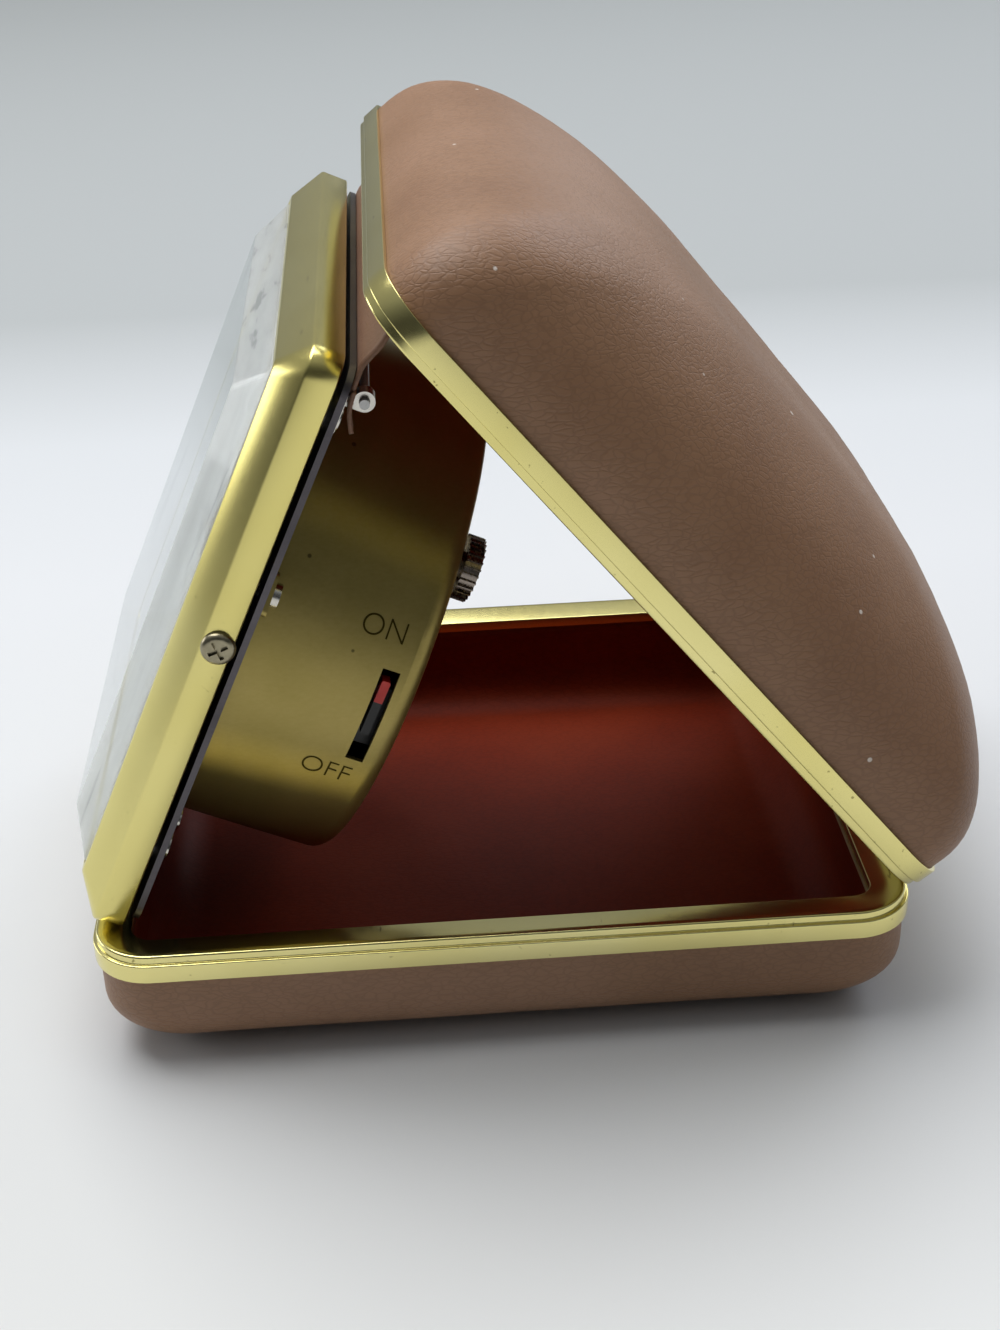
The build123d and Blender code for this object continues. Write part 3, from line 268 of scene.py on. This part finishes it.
STEEL = metal("steel_drawn", "#8a8988", "#b2b1af", 0.32)
BLUED = metal("spring_steel_blued", "#26304f", "#3d4a72", 0.28)
NICKEL = metal("nickel_plated", "#bdb8ae", "#d8d4cb", 0.22)
AGED = metal("nickel_worn", "#7d7661", "#a09880", 0.3)
KNOB = metal("nickel_tarnished", "#786d63", "#9c9188", 0.26)
PLATE = metal("zinc_plated_steel", "#4e4a4d", "#646064", 0.42, run=(1.0, 0.2, 1.0))
MOUNT = metal("aluminium_sheet", "#a9a9a9", "#c6c6c6", 0.34)
DIAL = coated("silvered_dial", "#d6d6d1", "#e0e0db", 0.45, skin=3.0, depth=0.000004)
INK = coated("printed_ink", "#232224", "#302f31", 0.5, skin=3.0, depth=0.000004)
HAND = coated("hand_black_lacquer", "#151413", "#232120", 0.3, skin=2.0, depth=0.000004)
BLACK = coated("phenolic_black", "#100f0f", "#1b1919", 0.42, skin=1.5, depth=0.00002)
RED = coated("vinyl_red", "#c02016", "#d42f20", 0.38, skin=1.5, depth=0.00002)
CARD = coated("card_cut_edge", "#cbb68c", "#e2d3ac", 0.8, skin=2.5, depth=0.00005)
# Painted shade: the struck marks are coloured dark to stand for the shadow in their stamped strokes.
STAMP = metal("bronze_struck_mark_painted_shade", "#3a3113", "#4d421d", 0.5, run=(1.0, 1.0, 1.0))
CRYSTAL = clear_acrylic("acrylic_polished", cloud=0.02)
CRYSTAL_EDGE = clear_acrylic("acrylic_ground_edge", cloud=0.42)


# Meshes

def finish_piece(mesh_name, bm, matrix, material, smooth=True):
    """Turn a bmesh into a placed piece with its place in its mesh."""
    bmesh.ops.recalc_face_normals(bm, faces=bm.faces[:])
    mesh = bpy.data.meshes.new(mesh_name)
    bm.to_mesh(mesh)
    bm.free()
    mesh.transform(matrix)
    for face in mesh.polygons:
        face.use_smooth = smooth
    piece = bpy.data.objects.new(mesh_name, mesh)
    bpy.context.scene.collection.objects.link(piece)
    mesh.materials.append(material)
    return piece


def dress(piece, body, slot, *replaced):
    """Let a piece ride a body and hide the solids it stands for; the slot argument is not used."""
    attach(piece, body)
    if replaced:
        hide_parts(*replaced)
    return piece


def round_path(width, length, radius, steps, sides):
    """Points round a rounded rectangle, the same count for every size."""
    radius = max(min(radius, width / 2 - 0.01, length / 2 - 0.01), 0.01)
    half = (width / 2 - radius, length / 2 - radius)
    corners = []
    for quarter, (sx, sy) in enumerate(((1, 1), (-1, 1), (-1, -1), (1, -1))):
        arc = []
        for k in range(steps + 1):
            turn = pi / 2 * (quarter + k / steps)
            arc.append((sx * half[0] + radius * cos(turn), sy * half[1] + radius * sin(turn)))
        corners.append(arc)
    points = []
    for quarter in range(4):
        arc, following = corners[quarter], corners[(quarter + 1) % 4]
        points.extend(arc)
        a, b = arc[-1], following[0]
        for k in range(1, sides + 1):
            t = k / (sides + 1)
            points.append((a[0] + (b[0] - a[0]) * t, a[1] + (b[1] - a[1]) * t))
    return points


def ring_shell(rings, steps=10, sides=10, closed=False, cap_first=False, cap_last=False):
    """A skin through rings, each a width, a length, a corner radius and a depth."""
    bm = bmesh.new()
    made = []
    for width, length, radius, z in rings:
        made.append([bm.verts.new((x, y, z)) for x, y in round_path(width, length, radius, steps, sides)])
    pairs = list(zip(made, made[1:]))
    if closed:
        pairs.append((made[-1], made[0]))
    for low, high in pairs:
        count = len(low)
        for k in range(count):
            bm.faces.new((low[k], low[(k + 1) % count], high[(k + 1) % count], high[k]))
    for wanted, ring, z in ((cap_first, made[0], rings[0][3]), (cap_last, made[-1], rings[-1][3])):
        if wanted:
            middle = bm.verts.new((0, 0, z))
            for k in range(len(ring)):
                bm.faces.new((ring[k], ring[(k + 1) % len(ring)], middle))
    return bm


def rounded_section(points, steps):
    """A closed section whose corners are rounded, each by a radius of its own."""
    out = []
    count = len(points)
    for k in range(count):
        before, after = Vector(points[k - 1][:2]), Vector(points[(k + 1) % count][:2])
        here, want = Vector(points[k][:2]), points[k][2]
        a, b = (before - here), (after - here)
        half = acos(max(-1, min(1, a.normalized().dot(b.normalized())))) / 2
        reach = min(want / max(sin(half) / cos(half), 1e-6), a.length * 0.45, b.length * 0.45)
        start, end = here + a.normalized() * reach, here + b.normalized() * reach
        for s in range(steps + 1):
            t = s / steps
            out.append(tuple(start * (1 - t) ** 2 + here * 2 * t * (1 - t) + end * t * t))
    return out


def pillow_rings(depth, rounding, inset, drop, start, wall=6, dome=26, floor=12):
    """Rings of a tray's skin from its mouth to its floor, as the solids are made."""
    wall_end = depth - rounding[1]
    radius = CASE_CORNER - inset
    turn_in = rounding[0] - (inset - COVER_INSET)
    turn_up = rounding[1] - drop
    opening = (rounding[2] - (inset - COVER_INSET) - radius) / turn_in
    rings = []
    for k in range(wall):
        z = start + (wall_end - start) * k / wall
        rings.append((CASE_WIDTH - 2 * inset, CASE_LENGTH - 2 * inset, radius, z))
    for k in range(dome + 1):
        turn = pi / 2 * k / dome
        drawn = turn_in * (1 - cos(turn))
        z = wall_end + turn_up * sin(turn)
        gone = inset + drawn
        rings.append((CASE_WIDTH - 2 * gone, CASE_LENGTH - 2 * gone, radius + opening * drawn, z))
    width, length, corner, z = rings[-1]
    for k in range(1, floor):
        share = 1 - k / floor
        rings.append((width * share, length * share, corner * share, z))
    return rings


def tray_skin(name, matrix, depth, rounding, outer, inner, material, lumps=0.0):
    """A covering between two skins, closed round the mouth, with slight hand-laid unevenness."""
    outside = pillow_rings(depth, rounding, *outer, LAYER_START)
    inside = pillow_rings(depth, rounding, *inner, LAYER_START)
    bm = ring_shell(list(reversed(outside)) + inside, 12, 16, False, True, True)
    piece = finish_piece(name, bm, matrix, material)
    if lumps:
        mesh = piece.data
        spots = [v.co.copy() for v in mesh.vertices]
        back = matrix.inverted()
        for vertex, normal in zip(mesh.vertices, [n.vector.copy() for n in mesh.vertex_normals]):
            local = back @ spots[vertex.index]
            fade = max(0.0, min(1.0, (local.z - 3.4) / 3.0))
            wave = noise.noise(local * 0.11) + 0.5 * noise.noise(local * 0.35)
            vertex.co = spots[vertex.index] + normal * (wave * lumps * fade * MM)
    return piece


def rim_section():
    """Half-section of a gilt rim as inset, depth and rounding: a band, a step, a shoulder and a flange."""
    band = [(0.0, RIM_HEIGHT, 0.06), (0.0, SHOULDER_LOW, 0.16)]
    shoulder = [(SHOULDER_BACK, 0.86, 0.04), (SHOULDER_BACK, 0.0, 0.40), (1.0, 0.02, 0.25)]
    flange = [(CAVITY_SKIN[0], FLANGE_LOW, 0.12), (CAVITY_SKIN[0], FLANGE_UNDER, 0.08)]
    inside = [(BAND_THICK, FLANGE_UNDER, 0.02), (BAND_THICK, RIM_HEIGHT, 0.03)]
    return band + shoulder + flange + inside


def box(size, middle):
    """A plain block by its sizes and its middle."""
    bm = bmesh.new()
    bmesh.ops.create_cube(bm, size=1.0)
    bmesh.ops.scale(bm, vec=size, verts=bm.verts)
    bmesh.ops.translate(bm, vec=middle, verts=bm.verts)
    return bm


def rim_piece(name, matrix, material):
    """A rim round the mouth, cleared at the rear for the hinge."""
    rings = []
    for inset, z in rounded_section(rim_section(), 4):
        rings.append((CASE_WIDTH - 2 * inset, CASE_LENGTH - 2 * inset, CASE_CORNER - inset, z))
    piece = finish_piece(name, ring_shell(rings, 14, 6, True), matrix, material)
    room = box((28.6, 4.0, 6.0), (0, 39.55 + 2.0, -0.15))
    cutter = finish_piece(name + "_room", room, matrix, material, False)
    hollow = piece.modifiers.new("hinge_room", "BOOLEAN")
    hollow.operation = "DIFFERENCE"
    hollow.solver = "EXACT"
    hollow.object = cutter
    apply_modifiers(piece)
    bpy.data.objects.remove(cutter)
    return piece


def apply_modifiers(piece):
    """Make a piece's modifiers part of its mesh."""
    bpy.context.view_layer.update()
    graph = bpy.context.evaluated_depsgraph_get()
    mesh = bpy.data.meshes.new_from_object(piece.evaluated_get(graph))
    piece.modifiers.clear()
    piece.data = mesh


# Case coverings, linings and rims
base_shape = (BASE, BASE_DEPTH, BASE_ROUND)
lid_shape = (LID, LID_DEPTH, LID_ROUND)
cover_skin = (COVER_INSET, 0.0)
base_cover = tray_skin("base_cover_skin", *base_shape, cover_skin, COVER_BACK, COVER, 0.06)
dress(base_cover, "base", "leatherette", "base_cover")
lid_cover = tray_skin("lid_cover_skin", *lid_shape, cover_skin, COVER_BACK, COVER, 0.10)
dress(lid_cover, "lid", "leatherette", "lid_cover")
base_lining = tray_skin("base_lining_skin", *base_shape, LINING_SKIN, CAVITY_SKIN, LINING)
dress(base_lining, "base", "lining", "base_lining")
lid_lining = tray_skin("lid_lining_skin", *lid_shape, LINING_SKIN, CAVITY_SKIN, LINING)
dress(lid_lining, "lid", "lining", "lid_lining")
cut_edge = box((58.0, 0.14, 0.34), (0, CASE_LENGTH / 2 - CAVITY_SKIN[0] - 0.05, LAYER_START + 0.15))
dress(finish_piece("lining_cut_edge", cut_edge, BASE, CARD, False), "base", "lining")
base_rim = rim_piece("base_rim_band", BASE, GILT)
dress(base_rim, "base", "gilt", "base_rim")
lid_rim = rim_piece("lid_rim_band", LID, GILT)
dress(lid_rim, "lid", "gilt", "lid_rim")


# Clock frame and crystal
def square_rings(section):
    """Rings of a square piece from sizes, corner radii and depths."""
    return [(size, size, radius, z) for size, radius, z in section]


frame_section = [
    (61.7, 2.4, 0.0), (FRAME_SIZE, 2.5, 0.15), (FRAME_SIZE, 2.5, 2.72), (61.9, 2.45, 2.84),
    (61.7, 2.4, 2.98), (55.7, 1.25, 5.17), (55.45, 1.2, 5.24), (55.2, 1.15, FRAME_DEEP),
    (54.35, 1.0, FRAME_DEEP), (54.2, 1.0, 5.15), (54.2, 1.0, LIP_LOW), (57.6, 1.0, LIP_LOW),
    (57.6, 1.0, 0.1), (57.8, 1.1, 0.0),
]
frame_skin = ring_shell(square_rings(frame_section), 10, 4, True)
bezel = finish_piece("bezel_frame_gilt", frame_skin, CLOCK, FRAME_GILT)
dress(bezel, "clock", "gilt", "bezel_frame")

crystal_section = [
    (1.0, 0.3, 5.25), (49.8, 1.0, 5.25), (50.1, 1.0, 5.1), (50.1, 1.0, 2.55), (57.0, 1.0, 2.55),
    (57.2, 1.0, 2.65), (57.2, 1.0, 3.75), (57.0, 1.0, 3.85), (54.0, 1.0, 3.85), (53.9, 1.0, 3.95),
    (53.9, 1.0, 5.2), (53.8, 1.0, 5.32), (46.9, 0.9, 7.56), (46.5, 0.8, CRYSTAL_TOP), (1.0, 0.3, CRYSTAL_TOP),
]
crystal_skin = ring_shell(square_rings(crystal_section), 6, 3, False, True, True)
crystal = finish_piece("crystal_faceted", crystal_skin, CLOCK, CRYSTAL, False)
crystal.data.materials.append(CRYSTAL_EDGE)
face_way = CLOCK.col[2].to_3d().normalized()
for face in crystal.data.polygons:
    face.material_index = 0 if abs(face.normal.dot(face_way)) > 0.97 else 1
dress(crystal, "clock", "crystal_acrylic", "crystal")


# Web between lid and clock
def lid_to_clock():
    """The web's line in the clock's plane coordinates y and z, from the lid's lining to the clock's back."""
    to_clock = CLOCK.inverted() @ LID
    lid_end = CAVITY_SKIN[0] - CASE_LENGTH / 2 + 0.3
    points = [to_clock @ Vector((0, lid_end, z)) for z in (4.6, 3.4, 2.3, 1.2)]
    line = [(p.y, p.z) for p in points]
    line += [(33.2, -2.5), (31.6, -1.95), (30.6, -1.62), (29.3, -1.6), (28.0, -1.6)]
    return line


def smooth_line(points, count):
    """Points along a Catmull-Rom line through the given ones."""
    out = []
    spans = len(points) - 1
    for k in range(count + 1):
        place_at = min(k / count * spans, spans - 1e-6)
        i = int(place_at)
        t = place_at - i
        p = [Vector(points[max(0, min(spans, j))]) for j in (i - 1, i, i + 1, i + 2)]
        out.append(0.5 * (2 * p[1] + (p[2] - p[0]) * t + (2 * p[0] - 5 * p[1] + 4 * p[2] - p[3]) * t * t
                          + (3 * p[1] - p[0] - 3 * p[2] + p[3]) * t ** 3))
    return out


def cloth(name, line, left, right, across, fray):
    """A thin closed sheet that follows a line over the clock's back, its last edge frayed."""
    rows = len(line)
    bm = bmesh.new()
    grids = []
    for side in (-1, 1):
        grid = []
        for j in range(across + 1):
            x = left + (right - left) * j / across
            pull = fray * (0.5 + 0.5 * noise.noise(Vector((x * 2.1, 0.0, 7.0))))
            column = []
            for i, p in enumerate(line):
                ahead = line[min(i + 1, rows - 1)] - line[max(i - 1, 0)]
                normal = Vector((-ahead[1], ahead[0])).normalized()
                at = p + normal * (side * WEB_THICK / 2) - ahead.normalized() * (pull * (i / (rows - 1)) ** 2)
                column.append(bm.verts.new((x, at[0], at[1])))
            grid.append(column)
        grids.append(grid)
    for g, grid in enumerate(grids):
        for j in range(across):
            for i in range(rows - 1):
                quad = (grid[j][i], grid[j + 1][i], grid[j + 1][i + 1], grid[j][i + 1])
                bm.faces.new(quad if g else tuple(reversed(quad)))
    a, b = grids
    for j in range(across):
        for i in (0, rows - 1):
            bm.faces.new((a[j][i], a[j + 1][i], b[j + 1][i], b[j][i]))
    for i in range(rows - 1):
        for j in (0, across):
            bm.faces.new((a[j][i], a[j][i + 1], b[j][i + 1], b[j][i]))
    return finish_piece(name, bm, CLOCK, WEB)


web = cloth("clock_web", smooth_line(lid_to_clock(), 40), -WEB_HALF, WEB_HALF, 58, 0.25)
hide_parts("hinge_strap")
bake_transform(web)
web_line = smooth_line(lid_to_clock(), 80)


for side in (-1, 1):
    torn_line = smooth_line([(28.3, -1.75), (27.0, -1.85), (25.7, -2.3), (24.4, -3.0)], 14)
    ends = sorted((side * 27.7, side * 29.2))
    torn = cloth("web_torn_end_left" if side < 0 else "web_torn_end_right", torn_line, *ends, 12, 1.3)
    dress(torn, "clock", "web")


# Dial marks
def nodes_tree(name, inputs):
    """A geometry tree with named float inputs."""
    tree = bpy.data.node_groups.new(name, "GeometryNodeTree")
    tree.interface.new_socket("Geometry", in_out="INPUT", socket_type="NodeSocketGeometry")
    sockets = {}
    for label, value in inputs.items():
        kind = "NodeSocketInt" if isinstance(value, int) else "NodeSocketFloat"
        socket = tree.interface.new_socket(label, in_out="INPUT", socket_type=kind)
        socket.default_value = value
        sockets[label] = socket.identifier
    tree.interface.new_socket("Geometry", in_out="OUTPUT", socket_type="NodeSocketGeometry")
    entry = tree.nodes.new("NodeGroupInput")
    leave = tree.nodes.new("NodeGroupOutput")
    return tree, entry, leave, sockets


def ring_of_bars(name, matrix, material, count, radius, long, wide, thick, z):
    """Bars set round a circle and pointing at its middle, for the dial's marks."""
    inputs = {"Count": count, "Radius": radius, "Long": long, "Wide": wide, "Thick": thick, "Height": z}
    tree, entry, leave, sockets = nodes_tree(name, inputs)
    circle = add(tree, "GeometryNodeMeshCircle", {"Vertices": entry.outputs["Count"],
                                                  "Radius": entry.outputs["Radius"]})
    size = add(tree, "ShaderNodeCombineXYZ", {"X": entry.outputs["Long"], "Y": entry.outputs["Wide"],
                                              "Z": entry.outputs["Thick"]})
    bar = add(tree, "GeometryNodeMeshCube", {"Size": size.outputs[0]})
    place_at = add(tree, "GeometryNodeInputPosition")
    aim = add(tree, "FunctionNodeAlignEulerToVector", {"Vector": place_at.outputs[0]}, axis="X")
    spread = {"Points": circle.outputs[0], "Instance": bar.outputs["Mesh"], "Rotation": aim.outputs[0]}
    copies = add(tree, "GeometryNodeInstanceOnPoints", spread)
    lift = add(tree, "ShaderNodeCombineXYZ", {"Z": entry.outputs["Height"]})
    raised = add(tree, "GeometryNodeTranslateInstances", {"Instances": copies.outputs[0],
                                                          "Translation": lift.outputs[0]})
    real = add(tree, "GeometryNodeRealizeInstances", {"Geometry": raised.outputs[0]})
    painted = add(tree, "GeometryNodeSetMaterial", {"Geometry": real.outputs[0], "Material": material})
    tree.links.new(painted.outputs[0], leave.inputs[0])
    piece = bpy.data.objects.new(name, bpy.data.meshes.new(name))
    bpy.context.scene.collection.objects.link(piece)
    modifier = piece.modifiers.new(name, "NODES")
    modifier.node_group = tree
    for label, value in inputs.items():
        modifier[sockets[label]] = value
    apply_modifiers(piece)
    piece.data.transform(matrix)
    return piece


minute_ticks = ring_of_bars("dial_minute_ticks", CLOCK, INK, 60, 21.3, 1.1, 0.22, 0.03, DIAL_TOP + 0.015)
dress(minute_ticks, "clock", "hand_metal")
hour_ticks = ring_of_bars("dial_hour_ticks", CLOCK, INK, 12, 21.0, 1.7, 0.7, 0.04, DIAL_TOP + 0.02)
dress(hour_ticks, "clock", "hand_metal")


def text_mesh(words, size, thick, thin=0.0):
    """Flat lettering as a bmesh, centred, of a small thickness, its strokes thinned where wanted."""
    curve = bpy.data.curves.new(words, "FONT")
    curve.body = words
    curve.size = size
    curve.align_x = "CENTER"
    curve.align_y = "CENTER"
    curve.extrude = thick / 2
    curve.offset = -thin
    holder = bpy.data.objects.new(words, curve)
    bpy.context.scene.collection.objects.link(holder)
    bpy.context.view_layer.update()
    mesh = bpy.data.meshes.new_from_object(holder.evaluated_get(bpy.context.evaluated_depsgraph_get()))
    bpy.data.objects.remove(holder)
    bm = bmesh.new()
    bm.from_mesh(mesh)
    bmesh.ops.remove_doubles(bm, verts=bm.verts[:], dist=1e-5)
    return bm


def dial_numbers():
    """Hours one to twelve round the dial, upright."""
    whole = bmesh.new()
    for hour in range(1, 13):
        turn = radians(30 * hour)
        letters = text_mesh(str(hour), 5.4, 0.04)
        middle = (17.0 * sin(turn), 17.0 * cos(turn), DIAL_TOP + 0.02)
        bmesh.ops.translate(letters, vec=middle, verts=letters.verts[:])
        mesh = bpy.data.meshes.new("hour")
        letters.to_mesh(mesh)
        letters.free()
        whole.from_mesh(mesh)
        bpy.data.meshes.remove(mesh)
    return finish_piece("dial_numbers", whole, CLOCK, INK, False)


dress(dial_numbers(), "clock", "hand_metal")


# Marks beside the switch
def switch_mark(name, words, y, z):
    """Stamped lettering bent round the can's side, read from the frame towards the back, dark as painted
    shade in its strokes.
    """
    bm = text_mesh(words, 2.9, 0.05, 0.05)
    bmesh.ops.subdivide_edges(bm, edges=bm.edges[:], cuts=1)
    for vertex in bm.verts:
        u, v, w = vertex.co
        side = y + v
        vertex.co = (sqrt(CAN_RADIUS ** 2 - (side + CAN_DROP) ** 2) + w + 0.01, side, z - u)
    return finish_piece(name, bm, CLOCK, STAMP, False)


dress(switch_mark("switch_mark_on", "ON", 6.2, -13.1), "clock", "can_bronze")
dress(switch_mark("switch_mark_off", "OFF", -9.4, -13.0), "clock", "can_bronze")

# Finishes of the solids that stay
finishes = {
    CARD: ("base_shell", "lid_shell"),
    BRASS: ("base_hinge_leaf", "lid_hinge_leaf", "base_hinge_rivets", "lid_hinge_rivets", "strap_batten",
            "front_plate", "rear_plate", "plate_pillars", "centre_wheel", "cannon_pinion", "minute_wheel",
            "hour_wheel", "alarm_wheel", "third_wheel", "escape_wheel", "balance_wheel", "mainspring_barrel",
            "alarm_barrel", "ratchet_wheel"),
    STEEL: ("case_hinge_pin", "strap_wire", "barrel_arbor", "click", "pallet_lever", "alarm_hammer"),
    BLUED: ("mainspring", "alarm_spring", "hairspring"),
    AGED: ("bezel_screws",),
    NICKEL: ("back_plate_screws", "can_screws", "pillar_screws", "strap_clips"),
    PLATE: ("back_plate",),
    MOUNT: ("mount_plate",),
    CAN: ("movement_can",),
    DIAL: ("dial",),
    HAND: ("hour_hand", "minute_hand", "alarm_hand"),
    KNOB: ("time_set_knob", "alarm_set_knob", "time_winding_key", "alarm_winding_key"),
    BLACK: ("alarm_switch",),
    RED: ("switch_tip",),
}
for material, names in finishes.items():
    for name in names:
        mesh = nodes[name].data
        mesh.materials.clear()
        mesh.materials.append(material)


# Stage, camera and light
def stage_floor():
    """Pale paper under and behind the clock, its tone painted light and shade: lighter just behind it and
    greyer where it runs back, brightest in front of the clock.
    """
    bm = bmesh.new()
    bmesh.ops.create_grid(bm, x_segments=1, y_segments=1, size=4.0)
    made, tree, at = begin("pale_paper_painted_light")
    parts = add(tree, "ShaderNodeSeparateXYZ", {0: at})
    depth = {"Value": parts.outputs["X"], "From Min": -560.0, "From Max": 80.0}
    back = add(tree, "ShaderNodeMapRange", depth)
    # Painted light and shade: the paper is greyer far back, where it stands in shade, and brighter near the
    # clock and in front of it, where the light falls.
    far_painted_shade = [(0.0, "#a7abab"), (0.56, "#acb0b1"), (0.67, "#ced1d4")]
    close = [(0.76, "#d6d8db"), (0.9, "#d6d8da"), (1.0, "#e6e7e6")]
    tone = add(tree, "ShaderNodeValToRGB", {"Fac": back}, far_painted_shade + close)
    end(tree, add(tree, "ShaderNodeBsdfPrincipled", {"Base Color": tone, "Roughness": 0.75}))
    piece = finish_piece("stage_floor", bm, Matrix.Identity(4), made, False)


stage_floor()

F_PIXELS = 1946.257
PHOTO_TALL = 1330.0
SENSOR = 36.0
TILT, SWING, ROLL = radians(28.381), radians(2.948), radians(-1.847)
look = Vector((-cos(SWING) * cos(TILT), sin(SWING) * cos(TILT), -sin(TILT)))
right = look.cross(Vector((0, 0, 1))).normalized()
above = right.cross(look)
right, above = cos(ROLL) * right + sin(ROLL) * above, -sin(ROLL) * right + cos(ROLL) * above
eye = Vector((0, 0, 25.0)) - look * 210.657 + right * 1.929 + above * -1.003
camera_data = bpy.data.cameras.new("photo_camera")
camera_data.sensor_width = SENSOR
camera_data.lens = F_PIXELS * SENSOR / PHOTO_TALL
camera_data.clip_start = 0.01
camera = bpy.data.objects.new("photo_camera", camera_data)
bpy.context.scene.collection.objects.link(camera)
camera_rows = [(right[i], above[i], -look[i], eye[i] * MM) for i in range(3)]
camera.matrix_world = Matrix([*camera_rows, (0, 0, 0, 1)])
bpy.context.scene.camera = camera


def area_light(name, at, aim, size, power, colour="#ffffff"):
    """A soft lamp at a place, turned to a point, with its two sides in metres and its power in watts."""
    data = bpy.data.lights.new(name, "AREA")
    data.shape = "RECTANGLE"
    data.size, data.size_y = size
    data.energy = power
    data.color = linear(colour)[:3]
    lamp = bpy.data.objects.new(name, data)
    bpy.context.scene.collection.objects.link(lamp)
    way = Vector(aim) - Vector(at)
    lamp.matrix_world = Matrix.Translation(at) @ way.to_track_quat("-Z", "Y").to_matrix().to_4x4()


area_light("ceiling_softbox", (-0.2, -0.14, 0.8), (0, 0, 0.03), (0.7, 0.7), 7.0)
area_light("dial_side_wall", (-0.42, -0.9, 0.24), (0, 0, 0.04), (0.5, 0.34), 2.0)
area_light("rear_window", (-0.6, 0.45, 0.5), (0, 0, 0.05), (0.5, 0.5), 1.8, "#f2f6ff")

world = bpy.data.worlds.new("studio")
bpy.context.scene.world = world
world.use_nodes = True
sky = world.node_tree
toward = add(sky, "ShaderNodeTexCoord").outputs["Generated"]
bright_side = {0: toward, 1: (-0.5, 0.0, 1.0)}
rise = add(sky, "ShaderNodeVectorMath", bright_side, operation="DOT_PRODUCT").outputs["Value"]
greys = [(0.0, "#626466"), (0.3, "#9a9ea0"), (0.55, "#d3d7da"), (1.0, "#e0e3e6")]
glow = add(sky, "ShaderNodeValToRGB", {"Fac": rise}, greys)
sky.links.new(glow.outputs["Color"], sky.nodes["Background"].inputs["Color"])
sky.nodes["Background"].inputs["Strength"].default_value = 0.42

scene = bpy.context.scene
scene.view_settings.view_transform = "Standard"
